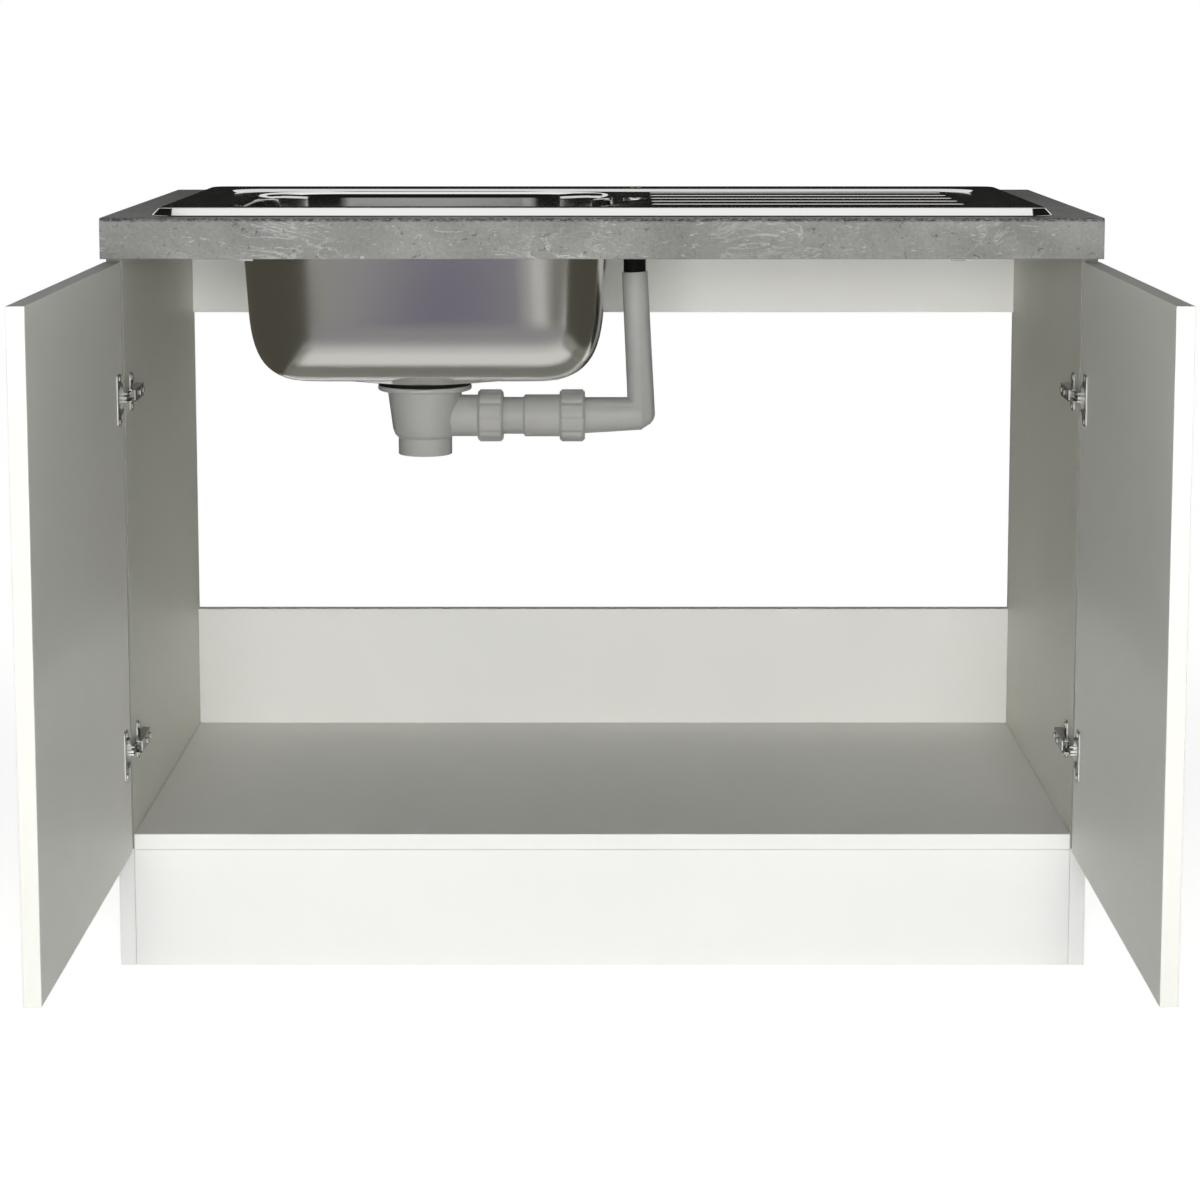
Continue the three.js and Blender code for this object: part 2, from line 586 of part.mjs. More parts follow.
// The cup about its own axis, +Y out of the door, with X = 0 at the middle of the cup.
function hingeCup(name) {
  const bore = CUP_RADIUS - CUP_WALL;
  const shell = turned([
    [0, -CUP_DEPTH],
    [CUP_RADIUS, -CUP_DEPTH],
    [CUP_RADIUS, SEAT],
    [CUP_RADIUS + CUP_COLLAR, SEAT],
    [CUP_RADIUS + CUP_COLLAR - FLANGE_CHAMFER, SEAT + FLANGE_THICKNESS],
    [bore, SEAT + FLANGE_THICKNESS],
    [bore, -CUP_DEPTH + CUP_WALL],
    [0, -CUP_DEPTH + CUP_WALL],
  ], MEDIUM_ROUND).rotateX(-Math.PI / 2);
  const outline = rectangle(
    [0, FLANGE_REACH],
    [-FLANGE_HEIGHT / 2, FLANGE_HEIGHT / 2],
    Array(4).fill(FLANGE_CORNER),
  );
  const flange = upright(outline, [SEAT, SEAT + FLANGE_THICKNESS], 3).rotateX(-Math.PI / 2);
  const mouth = rod(
    [0, -CUP_DEPTH + CUP_WALL, 0],
    [0, SEAT + FLANGE_THICKNESS + CUT_PAST, 0],
    bore,
    bore,
    MEDIUM_ROUND,
  );
  const screws = [-1, 1].map((side) =>
    rod(
      [CUP_SCREW_OFFSET, SEAT + FLANGE_THICKNESS / 2, (side * CUP_SCREW_SPACING) / 2],
      [CUP_SCREW_OFFSET, SEAT + FLANGE_THICKNESS + CUP_SCREW_HEIGHT, (side * CUP_SCREW_SPACING) / 2],
      CUP_SCREW_RADIUS,
      CUP_SCREW_RADIUS - CUP_SCREW_CHAMFER,
    ),
  );
  const innerX = INNER_PIN_FROM_EDGE - CUP_FROM_EDGE;
  const outerX = OUTER_PIN_FROM_EDGE - CUP_FROM_EDGE;
  const ears = bothSides([EAR_START, EAR_END]).map((span) =>
    block(
      [innerX - INNER_EYE_RADIUS, innerX + INNER_EYE_RADIUS],
      [-CUP_DEPTH + CUP_WALL / 2, -INNER_PIN_FROM_FACE + INNER_EYE_RADIUS],
      span,
    ),
  );
  const innerPin = rod(
    [innerX, -INNER_PIN_FROM_FACE, -EAR_END],
    [innerX, -INNER_PIN_FROM_FACE, EAR_END],
    INNER_PIN_RADIUS,
  );
  const wallAt = Math.sqrt(bore ** 2 - outerX ** 2);
  const stubs = bothSides([CHEEK_START - LINK_PLAY / 2, wallAt]).map(([z0, z1]) =>
    rod([outerX, -OUTER_PIN_FROM_FACE, z0], [outerX, -OUTER_PIN_FROM_FACE, z1], OUTER_PIN_RADIUS),
  );
  const cup = cut(join(flange, shell), mouth);
  return mesh(name, cup.add(join(...screws, ...ears, innerPin, ...stubs)), nickel);
}

// A hooked bar in XY from its eye at the origin: along +X by reach, then along +Y by length.
function hookedBar(eyeRadius, boreRadius, reach, length, span) {
  const half = LINK_WIDTH / 2;
  const foot = block([0, reach], [-half, half - LINK_FOOT_RELIEF], span);
  const shank = block([reach - half, reach + half], [-half, length], span);
  const eye = rod([0, 0, span[0]], [0, 0, span[1]], eyeRadius);
  const bore = rod([0, 0, span[0] - CUT_PAST], [0, 0, span[1] + CUT_PAST], boreRadius);
  return cut(join(foot, shank, eye), bore);
}

function outerLink(name) {
  const bore = OUTER_PIN_RADIUS + SEAT;
  const cheeks = bothSides([CHEEK_START, CHEEK_END]).map((span) =>
    hookedBar(OUTER_EYE_RADIUS, bore, OUTER_LINK_REACH, OUTER_LINK_LENGTH, span),
  );
  const half = LINK_WIDTH / 2;
  const yoke = block(
    [OUTER_LINK_REACH - half, OUTER_LINK_REACH + half],
    [OUTER_LINK_LENGTH - LINK_WIDTH, OUTER_LINK_LENGTH],
    [-CHEEK_END, CHEEK_END],
  );
  return mesh(name, cheeks[0].add(cheeks[1]).add(solid(yoke)), nickel);
}

function innerLink(name) {
  const bar = hookedBar(
    INNER_EYE_RADIUS,
    INNER_PIN_RADIUS + SEAT,
    INNER_LINK_REACH,
    INNER_LINK_LENGTH,
    [-INNER_HALF, INNER_HALF],
  );
  return mesh(name, bar, nickel);
}

// The arm, a channel open to the side panel, in XY of the unit's side with Z = 0 at the hinge's middle.
function hingeArm(name) {
  const back = PANEL + ARM_CHANNEL_TOP;
  const foot = PANEL + ARM_CHANNEL_FOOT;
  const flank = new THREE.Shape();
  flank.moveTo(foot, ARM_NOSE);
  flank.lineTo(foot + ARM_CHAMFER, -ARM_NOSE);
  flank.lineTo(back - ARM_STEEL, -ARM_NOSE);
  flank.lineTo(back + ARM_STEEL, ARM_MOUTH);
  flank.lineTo(back + ARM_STEEL, ARM_END - ARM_CHAMFER);
  flank.lineTo(back, ARM_END);
  flank.lineTo(foot, ARM_END);
  const flanks = bothSides([ARM_HALF, ARM_HALF + ARM_STEEL]).map((span) => upright(flank, span));
  const coverHalf = ARM_HALF + ARM_STEEL / 2;
  const cover = block([back, back + ARM_STEEL], [ARM_MOUTH, ARM_END - ARM_CHAMFER], [-coverHalf, coverHalf]);
  const holes = [ARM_SCREW_FRONT, ARM_SCREW_REAR].map((y) =>
    rod([back - CUT_PAST, y, 0], [back + ARM_STEEL + CUT_PAST, y, 0], ARM_SCREW_SHANK + SEAT),
  );
  return mesh(name, cut(join(cover, ...flanks), ...holes), nickel);
}

function mountingPlate(name) {
  const face = PANEL + SEAT;
  const wingBack = face + WING_THICKNESS;
  const wings = upright(
    rectangle(
      [WING_LINE - WING_DEPTH / 2, WING_LINE + WING_DEPTH / 2],
      [-WING_HEIGHT / 2, WING_HEIGHT / 2],
      Array(4).fill(FLANGE_CORNER),
    ),
    [face, wingBack],
    3,
  );
  wings.rotateY(Math.PI / 2).rotateX(Math.PI / 2);
  const ribHalf = ARM_HALF - SEAT;
  const rib = block([face, PANEL + RIB_HEIGHT], [RIB_START, RIB_END], [-ribHalf, ribHalf]);
  const wingScrews = [-1, 1].map((side) =>
    rod(
      [face + WING_THICKNESS / 2, WING_LINE, (side * WING_SCREW_SPACING) / 2],
      [wingBack + WING_SCREW_HEIGHT, WING_LINE, (side * WING_SCREW_SPACING) / 2],
      WING_SCREW_RADIUS,
    ),
  );
  const headSeat = PANEL + ARM_CHANNEL_TOP + ARM_STEEL + SEAT;
  const armScrews = [ARM_SCREW_FRONT, ARM_SCREW_REAR].flatMap((y) => [
    rod([face, y, 0], [headSeat + ARM_SCREW_HEAD_HEIGHT / 2, y, 0], ARM_SCREW_SHANK),
    rod([headSeat, y, 0], [headSeat + ARM_SCREW_HEAD_HEIGHT, y, 0], ARM_SCREW_HEAD),
  ]);
  return mesh(name, join(rib, wings, ...wingScrews, ...armScrews), nickel);
}

// Everything on one side of the unit; the right side is its mirror image.
function unitSide(side) {
  const group = new THREE.Group();
  const leaf = new THREE.Group();
  group.add(sidePanel(`side_panel_${side}`), leaf);
  const [x, y] = swungOpen(0, 0);
  leaf.position.set(x, y, 0);
  leaf.rotation.z = -radians(OPEN_ANGLE);
  leaf.add(door(`door_${side}`));
  const outerPin = swungOpen(DOOR_SIDE_REVEAL + OUTER_PIN_FROM_EDGE, DOOR_FACE - OUTER_PIN_FROM_FACE);
  const innerPin = swungOpen(DOOR_SIDE_REVEAL + INNER_PIN_FROM_EDGE, DOOR_FACE - INNER_PIN_FROM_FACE);
  HINGE_HEIGHTS.forEach((z, i) => {
    const tag = `${side}_${["lower", "upper"][i]}`;
    const cup = hingeCup(`hinge_cup_${tag}`);
    cup.position.set(CUP_X, DOOR_FACE, z);
    leaf.add(cup);
    const outer = outerLink(`hinge_outer_link_${tag}`);
    outer.position.set(...outerPin, z);
    const inner = innerLink(`hinge_inner_link_${tag}`);
    inner.position.set(...innerPin, z);
    const arm = hingeArm(`hinge_arm_${tag}`);
    arm.position.z = z;
    const plate = mountingPlate(`hinge_plate_${tag}`);
    plate.position.z = z;
    group.add(outer, inner, arm, plate);
  });
  group.position.x = side === "left" ? -SIDE : SIDE;
  group.scale.x = side === "left" ? 1 : -1;
  return group;
}

// ---------------------------------------------------------------- sink
const rimRing = (inset, z) =>
  roundedRing([0, SINK_MIDDLE], [SINK_LENGTH / 2 - inset, SINK_WIDTH / 2 - inset], SINK_CORNER - inset, z);

function recessRing(inset, z) {
  const front = RIM_FRONT + RECESS_FRONT_MARGIN + inset;
  const back = RIM_FRONT + SINK_WIDTH - RECESS_BACK_MARGIN - inset;
  const halfX = SINK_LENGTH / 2 - RECESS_SIDE_MARGIN - inset;
  return roundedRing([0, (front + back) / 2], [halfX, (back - front) / 2], RECESS_CORNER, z);
}

// The rim and deck as a raised slab; drop lowers its skin, to give the hollow below it.
function deckSlab(drop, edgeInset, bottom) {
  return loft([
    rimRing(edgeInset, bottom),
    rimRing(edgeInset, WORKTOP_TOP + SEAT + RIM_EDGE_HEIGHT - drop * RIM_EDGE_SKIN),
    rimRing(RIM_BEVEL + drop / 2, RIM_TOP - RIM_CREST_DROP - drop),
    rimRing(RIM_BEVEL + RIM_CREST_BEVEL + drop / 2, RIM_TOP - drop),
    recessRing(-drop / 2, RIM_TOP - drop),
    recessRing(RECESS_SLOPE - drop / 2, DECK - drop),
  ]);
}

// The bowl from its mouth down; grow moves its skin outwards by that much.
function bowlRings(grow) {
  const draft = radians(BOWL_DRAFT);
  const ring = (inset, z) =>
    roundedRing(
      [BOWL_X, BOWL_MIDDLE],
      [BOWL_LENGTH / 2 - inset, BOWL_WIDTH / 2 - inset],
      Math.max(BOWL_CORNER - inset, BOWL_LEAST_CORNER),
      z,
    );
  const rings = [];
  const shoulder = BOWL_SHOULDER - grow;
  for (let i = 0; i <= SHOULDER_STEPS; i++) {
    const angle = (i / SHOULDER_STEPS) * (Math.PI / 2 - draft);
    const inset = shoulder * Math.sin(angle) - BOWL_SHOULDER;
    rings.push(ring(inset, DECK - BOWL_SHOULDER + shoulder * Math.cos(angle)));
  }
  const foot = BOWL_FOOT_RADIUS + grow;
  const footMiddle = BOWL_FLOOR + BOWL_FOOT_RADIUS;
  const wallDrop = DECK - BOWL_SHOULDER - footMiddle;
  const footInset = -grow / Math.cos(draft) + wallDrop * Math.tan(draft) + foot * Math.cos(draft);
  for (let i = 0; i <= FOOT_STEPS; i++) {
    const angle = draft + (i / FOOT_STEPS) * (Math.PI / 2 - draft);
    rings.push(ring(footInset - foot * Math.cos(angle), footMiddle - foot * Math.sin(angle)));
  }
  const seat = WASTE_SEAT_RADIUS + grow / 2;
  rings.push(roundedRing([WASTE_X, BOWL_MIDDLE], [seat, seat], seat, WASTE_SEAT - grow));
  return rings;
}

// One pressed rib of the drainer; drop and narrow give the groove under it.
function drainerRib(index, drop, narrow) {
  const y = RIM_FRONT + RIB_FROM_RIM_FRONT + index * RIB_PITCH;
  const [start, end] = RIB_ENDS;
  const middle = [(start + end) / 2, y];
  const half = (end - start) / 2;
  const ring = (inset, z) =>
    roundedRing(middle, [half - inset, RIB_HALF_WIDTH - inset], RIB_HALF_WIDTH - inset - 0.1, z, 2);
  return loft([
    ring(narrow, DECK - SHEET / 2 - drop),
    ring(narrow + RIB_FLANK, DECK + RIB_FLANK_RISE - drop),
    ring(narrow + RIB_CREST, DECK + RIB_RISE - drop),
  ]);
}

function sinkSheet() {
  const inner = bowlRings(0);
  const above = inner[0].map((p) => new THREE.Vector3(p.x, p.y, RIM_TOP + CUT_PAST));
  const outer = bowlRings(SHEET);
  const within = outer[0].map((p) => new THREE.Vector3(p.x, p.y, DECK - SHEET / 2));
  const ribs = Array.from({ length: RIB_COUNT }, (_, i) => i);
  const hollow = deckSlab(SHEET, RIM_EDGE_WALL, WORKTOP_TOP - CUT_PAST);
  const slab = cut(solid(deckSlab(0, 0, WORKTOP_TOP + SEAT)), hollow);
  const pressed = slab
    .add(solid(loft([within, ...outer])))
    .add(join(...ribs.map((i) => drainerRib(i, 0, 0))));
  const hole = (x, y, z, r) => rod([x, y, z - SINK_CORNER / 2], [x, y, z + SINK_CORNER / 2], r, r, ROUND);
  const finished = cut(
    pressed,
    loft([above, ...inner]),
    ...ribs.map((i) => drainerRib(i, SHEET, RIM_EDGE_WALL)),
    hole(WASTE_X, BOWL_MIDDLE, WASTE_SEAT, WASTE_HOLE_RADIUS),
    hole(OVERFLOW_X, tapY(), RIM_TOP, TAP_HOLE_RADIUS),
    hole(OVERFLOW_X, BOWL_MIDDLE, DECK, OVERFLOW_HOLE_RADIUS),
  );
  return mesh("sink", finished, stainless);
}

// The middle of the flat ledge behind the sunken deck.
function tapY() {
  const back = RIM_FRONT + SINK_WIDTH - RIM_BEVEL - RIM_CREST_BEVEL;
  return (back + RIM_FRONT + SINK_WIDTH - RECESS_BACK_MARGIN) / 2;
}

function sinkSeal() {
  const strip = (inset) =>
    rectangle(
      [-SINK_LENGTH / 2 + inset, SINK_LENGTH / 2 - inset],
      [RIM_FRONT + inset, RIM_FRONT + SINK_WIDTH - inset],
      Array(4).fill(SINK_CORNER - inset),
    );
  const outer = strip(CUTOUT_MARGIN - SEAL_WIDTH - SEAL_INSET);
  outer.holes.push(strip(CUTOUT_MARGIN - SEAL_INSET));
  const seal = upright(outer, [WORKTOP_TOP + SEAT, WORKTOP_TOP + SEAT + SEAL_HEIGHT], 4);
  return mesh("sink_seal", seal, blackRubber);
}

// A clip that hooks under the worktop, at the origin on the edge of the rim, with +X out of the sink.
function sinkClip(name) {
  const head = RIM_TOP - SHEET - SEAT;
  const under = CARCASE_HEIGHT - SEAT;
  const profile = new THREE.Shape([
    new THREE.Vector2(-CLIP_INSET - CLIP_FLANGE, head - CLIP_STEEL),
    new THREE.Vector2(-CLIP_INSET - CLIP_STEEL, head - CLIP_STEEL),
    new THREE.Vector2(-CLIP_INSET - CLIP_STEEL, CARCASE_HEIGHT - CLIP_DROP),
    new THREE.Vector2(-CLIP_INSET, CARCASE_HEIGHT - CLIP_DROP),
    new THREE.Vector2(-CLIP_INSET, under - CLIP_STEEL),
    new THREE.Vector2(-CUTOUT_MARGIN + CLIP_HOOK, under - CLIP_STEEL),
    new THREE.Vector2(-CUTOUT_MARGIN + CLIP_HOOK, under),
    new THREE.Vector2(-CLIP_INSET, under),
    new THREE.Vector2(-CLIP_INSET, head),
    new THREE.Vector2(-CLIP_INSET - CLIP_FLANGE, head),
  ]);
  return mesh(name, upright(profile, [-CLIP_WIDTH / 2, CLIP_WIDTH / 2]).rotateX(Math.PI / 2), nickel);
}

function sinkClips() {
  const group = new THREE.Group();
  const back = RIM_FRONT + SINK_WIDTH;
  const end = SINK_LENGTH / 2;
  const places = [
    ["sink_clip_front_left", CLIP_FRONT_FROM_END - end, RIM_FRONT, -Math.PI / 2],
    ["sink_clip_front_right", end - CLIP_FRONT_FROM_END, RIM_FRONT, -Math.PI / 2],
    ["sink_clip_back_left", CLIP_BACK_FROM_END - end, back, Math.PI / 2],
    ["sink_clip_back_right", end - CLIP_BACK_FROM_END, back, Math.PI / 2],
    ["sink_clip_left", -end, SINK_MIDDLE, Math.PI],
    ["sink_clip_right", end, SINK_MIDDLE, 0],
  ];
  for (const [name, x, y, turn] of places) {
    const clip = sinkClip(name);
    clip.position.set(x, y, 0);
    clip.rotation.z = turn;
    group.add(clip);
  }
  return group;
}

// ---------------------------------------------------------------- waste and overflow set
// In this group the origin is on the axis of the waste, at floor height.
function strainerFlange() {
  const seat = WASTE_SEAT + SEAT;
  const top = seat + STRAINER_FLANGE_THICKNESS;
  const foot = top - STRAINER_CUP_DEPTH;
  const cup = turned([
    [0, foot],
    [STRAINER_CUP_RADIUS, foot],
    [STRAINER_CUP_RADIUS, seat],
    [STRAINER_FLANGE_RADIUS, seat],
    [STRAINER_FLANGE_RADIUS, seat + STRAINER_FLANGE_THICKNESS / 2],
    [STRAINER_FLANGE_RADIUS - STRAINER_BEVEL, top],
    [STRAINER_CUP_RADIUS, top],
    [STRAINER_CUP_RADIUS - STRAINER_SHEET, top - STRAINER_FLANGE_THICKNESS / 2],
    [STRAINER_CUP_RADIUS - STRAINER_SHEET, foot + STRAINER_SHEET],
    [0, foot + STRAINER_SHEET],
  ], MEDIUM_ROUND);
  const slots = Array.from({ length: STRAINER_SLOTS }, (_, i) => {
    const angle = (i / STRAINER_SLOTS) * 2 * Math.PI;
    const [x, y] = [Math.cos(angle), Math.sin(angle)].map((part) => part * STRAINER_SLOT_CIRCLE);
    return rod([x, y, foot - CUT_PAST], [x, y, foot + STRAINER_SHEET + CUT_PAST], STRAINER_SLOT_RADIUS);
  });
  const past = foot + STRAINER_SHEET + CUT_PAST;
  const screwHole = rod([0, 0, foot - CUT_PAST], [0, 0, past], CENTRE_SCREW_RADIUS + SEAT);
  return mesh("strainer_flange", cut(solid(cup), ...slots, screwHole), stainless);
}

function basketStrainer() {
  const rest = WASTE_SEAT + SEAT + STRAINER_FLANGE_THICKNESS + SEAT;
  const foot = rest - BASKET_DEPTH;
  const wall = STRAINER_SHEET;
  const [neck, knob, knobTop, crown] = BASKET_KNOB_LEVELS;
  const cup = turned([
    [0, foot],
    [BASKET_RADIUS - BASKET_CHAMFER, foot],
    [BASKET_RADIUS, foot + BASKET_CHAMFER],
    [BASKET_RADIUS, rest],
    [BASKET_FLANGE_RADIUS, rest],
    [BASKET_FLANGE_RADIUS, rest + wall],
    [BASKET_RADIUS - wall, rest + wall],
    [BASKET_RADIUS - wall, foot + BASKET_CHAMFER + wall / 2],
    [BASKET_RADIUS - BASKET_CHAMFER - wall / 2, foot + wall],
    [BASKET_KNOB_NECK, foot + wall],
    [BASKET_KNOB_NECK, foot + neck],
    [BASKET_KNOB_RADIUS, foot + knob],
    [BASKET_KNOB_RADIUS, foot + knobTop],
    [0, foot + crown],
  ], MEDIUM_ROUND);
  const holes = Array.from({ length: BASKET_HOLES }, (_, i) => {
    const angle = (i / BASKET_HOLES) * 2 * Math.PI;
    const [x, y] = [Math.cos(angle), Math.sin(angle)].map((part) => part * BASKET_HOLE_CIRCLES[i % 2]);
    return rod([x, y, foot - CUT_PAST], [x, y, foot + wall + CUT_PAST], BASKET_HOLE_RADIUS, undefined, 6);
  });
  return mesh("basket_strainer", cut(solid(cup), ...holes), stainless);
}

const STRAINER_FOOT = WASTE_SEAT + SEAT + STRAINER_FLANGE_THICKNESS - STRAINER_CUP_DEPTH;
const BOSS_TOP = STRAINER_FOOT - SEAT;

function centreScrew() {
  const seat = STRAINER_FOOT + STRAINER_SHEET + SEAT;
  const top = seat + CENTRE_SCREW_HEAD_HEIGHT;
  const tip = BOSS_TOP - BOSS_HEIGHT + CENTRE_SCREW_TIP;
  const profile = [
    [0, tip],
    [CENTRE_SCREW_RADIUS, tip],
    [CENTRE_SCREW_RADIUS, seat],
    [CENTRE_SCREW_HEAD, seat],
    [CENTRE_SCREW_HEAD, top - CENTRE_SCREW_CHAMFER],
    [CENTRE_SCREW_HEAD - CENTRE_SCREW_CHAMFER, top],
    [0, top],
  ];
  return mesh("centre_screw", turned(profile, SMALL_ROUND), stainless);
}

function wasteGasket() {
  const top = WASTE_SEAT - SHEET - SEAT;
  const foot = top - GASKET_THICKNESS;
  const profile = [
    [GASKET_BORE, foot],
    [GASKET_RADIUS, foot],
    [GASKET_RADIUS, top],
    [GASKET_BORE, top],
    [GASKET_BORE, foot],
  ];
  return mesh("waste_gasket", turned(profile), blackRubber);
}

function wasteBody() {
  const neck = BODY_TOP - BODY_HEIGHT + OUTLET_HEIGHT;
  const outlet = BODY_TOP - BODY_HEIGHT;
  const flangeFoot = BODY_TOP - BODY_FLANGE_HEIGHT;
  const kneeRadius = BODY_FOOT_RADIUS - BODY_SHOULDER_INSET;
  const inside = [
    [BODY_TOP_RADIUS - BODY_WALL, BODY_TOP],
    [BODY_FOOT_RADIUS - BODY_WALL, neck + BODY_SHOULDER],
    [kneeRadius - BODY_WALL, neck + BODY_SHOULDER_KNEE + BODY_NECK_WALL],
    [OUTLET_RADIUS - BODY_WALL, neck + BODY_NECK_WALL],
  ];
  const shell = turned([
    [OUTLET_RADIUS - BODY_WALL, outlet],
    [OUTLET_RADIUS, outlet],
    [OUTLET_RADIUS, neck],
    [kneeRadius, neck + BODY_SHOULDER_KNEE],
    [BODY_FOOT_RADIUS, neck + BODY_SHOULDER],
    [BODY_TOP_RADIUS, flangeFoot],
    [BODY_FLANGE_RADIUS - BODY_FLANGE_CHAMFER, flangeFoot],
    [BODY_FLANGE_RADIUS, flangeFoot + BODY_FLANGE_CHAMFER],
    [BODY_FLANGE_RADIUS, BODY_TOP],
    ...inside,
    [OUTLET_RADIUS - BODY_WALL, outlet],
  ]);
  const bossFoot = BOSS_TOP - BOSS_HEIGHT;
  const reach = (BODY_TOP_RADIUS + BODY_FOOT_RADIUS - BODY_WALL) / 2;
  const bridge = block(
    [-BRIDGE_WIDTH / 2, BRIDGE_WIDTH / 2],
    [-reach, reach],
    [bossFoot, bossFoot + BRIDGE_HEIGHT],
  );
  const boss = rod([0, 0, bossFoot], [0, 0, BOSS_TOP], BOSS_RADIUS, BOSS_RADIUS, MEDIUM_ROUND);
  const stubStart = [BODY_FOOT_RADIUS / 2, 0, SIDE_AXIS];
  const stub = rod(stubStart, [STUB_END, 0, SIDE_AXIS], STUB_RADIUS, STUB_RADIUS, ROUND);
  const hollow = turned([[0, BODY_TOP], ...inside, [0, neck + BODY_NECK_WALL]]);
  const stubMouth = [STUB_END + CUT_PAST, 0, SIDE_AXIS];
  const stubBore = rod([0, 0, SIDE_AXIS], stubMouth, STUB_BORE, STUB_BORE, MEDIUM_ROUND);
  const tapped = rod([0, 0, bossFoot - CUT_PAST], [0, 0, BOSS_TOP + CUT_PAST], CENTRE_SCREW_RADIUS + SEAT);
  const walls = cut(join(shell, stub), hollow, stubBore);
  return mesh("waste_body", cut(walls.add(join(bridge, boss)), tapped), greyPlastic);
}

// A ribbed union nut, along X from the origin, over a thread, with a lip round the tube it holds.
function unionNut(name, start, threadRadius, tubeRadius) {
  const ring = (inset, x) => {
    const points = [];
    const steps = NUT_LOBES * 3;
    for (let i = 0; i < steps; i++) {
      const angle = (i / steps) * 2 * Math.PI;
      const radius = NUT_RADIUS - inset - (i % 3 ? 0 : NUT_LOBE_DEPTH);
      points.push(new THREE.Vector3(x, radius * Math.cos(angle), radius * Math.sin(angle)));
    }
    return points;
  };
  const outside = loft([
    ring(NUT_CHAMFER, 0),
    ring(0, NUT_CHAMFER),
    ring(0, NUT_LENGTH - NUT_CHAMFER),
    ring(NUT_CHAMFER, NUT_LENGTH),
  ]);
  const bore = (x0, x1, radius) => rod([x0, 0, 0], [x1, 0, 0], radius + NUT_CLEARANCE, undefined, ROUND);
  const lipStart = NUT_LENGTH - NUT_LIP;
  const lip = bore(0, NUT_LENGTH + CUT_PAST, tubeRadius);
  const nut = mesh(name, cut(solid(outside), lip, bore(-CUT_PAST, lipStart, threadRadius)), greyPlastic);
  nut.position.x = start;
  return nut;
}

// The sealing ring inside a union nut, against the end at x of what the nut is screwed on.
function sealRing(name, end, radius) {
  const [x0, x1] = [end + SEAT, end + SEAT + SEAL_RING_LENGTH];
  const bore = radius - ADAPTER_WALL;
  const profile = [
    [bore, x0],
    [radius, x0],
    [radius, x1],
    [bore, x1],
    [bore, x0],
  ];
  return mesh(name, turned(profile).rotateY(Math.PI / 2), blackRubber);
}

const RING_SPACE = SEAL_RING_LENGTH + 2 * SEAT;

function adapterTube() {
  const start = STUB_END + RING_SPACE;
  const wall = ADAPTER_WALL;
  const shoulder = ADAPTER_SOCKET_START;
  const profile = [
    [ADAPTER_TUBE_RADIUS - wall, start],
    [ADAPTER_TUBE_RADIUS, start],
    [ADAPTER_TUBE_RADIUS, shoulder - ADAPTER_SLOPE],
    [ADAPTER_SOCKET_RADIUS, shoulder],
    [ADAPTER_SOCKET_RADIUS, ADAPTER_SOCKET_END],
    [ADAPTER_SOCKET_RADIUS - wall, ADAPTER_SOCKET_END],
    [ADAPTER_SOCKET_RADIUS - wall, shoulder + ADAPTER_SOCKET_STOP],
    [ADAPTER_TUBE_RADIUS - wall, shoulder + ADAPTER_SOCKET_STOP],
    [ADAPTER_TUBE_RADIUS - wall, start],
  ];
  return mesh("adapter_tube", turned(profile).rotateY(Math.PI / 2), greyPlastic);
}

const PIPE_START = ADAPTER_SOCKET_END + RING_SPACE + PIPE_END_PLAY;
const LEG_FOOT_X = OVERFLOW_REACH + LEG_LEAN;

function overflowPipe() {
  const top = PIPE_RADIUS - PIPE_CORNER_RADIUS;
  const foot = [LEG_FOOT_X, 0, top];
  const rise = LEG_TOP - SIDE_AXIS;
  const mouth = [OVERFLOW_REACH, 0, rise];
  const bend = rod([PIPE_START, 0, 0], foot, PIPE_RADIUS, PIPE_CORNER_RADIUS, MEDIUM_ROUND);
  const leg = rod(foot, mouth, LEG_FOOT_RADIUS, LEG_TOP_RADIUS, MEDIUM_ROUND);
  const knee = new THREE.SphereGeometry(LEG_FOOT_RADIUS, MEDIUM_ROUND, 6);
  knee.rotateX(Math.PI / 2).translate(...foot);
  const kneeFoot = rod(
    [LEG_FOOT_X - CUT_PAST, 0, top],
    [LEG_FOOT_X + KNEE_REACH, 0, top],
    PIPE_CORNER_RADIUS,
    KNEE_END_RADIUS,
    MEDIUM_ROUND,
  );
  const boreFoot = PIPE_CORNER_RADIUS - PIPE_WALL;
  const beyond = 1 + (2 * CUT_PAST) / (rise - top);
  const above = [foot[0] + (mouth[0] - foot[0]) * beyond, 0, top + (rise - top) * beyond];
  const hollows = [
    rod([PIPE_START - CUT_PAST, 0, 0], foot, PIPE_RADIUS - PIPE_WALL, boreFoot, MEDIUM_ROUND),
    rod(foot, above, LEG_FOOT_RADIUS - LEG_WALL, LEG_TOP_RADIUS - LEG_WALL, MEDIUM_ROUND),
  ];
  return mesh("overflow_pipe", cut(join(bend, leg, knee, kneeFoot), ...hollows), greyPlastic);
}

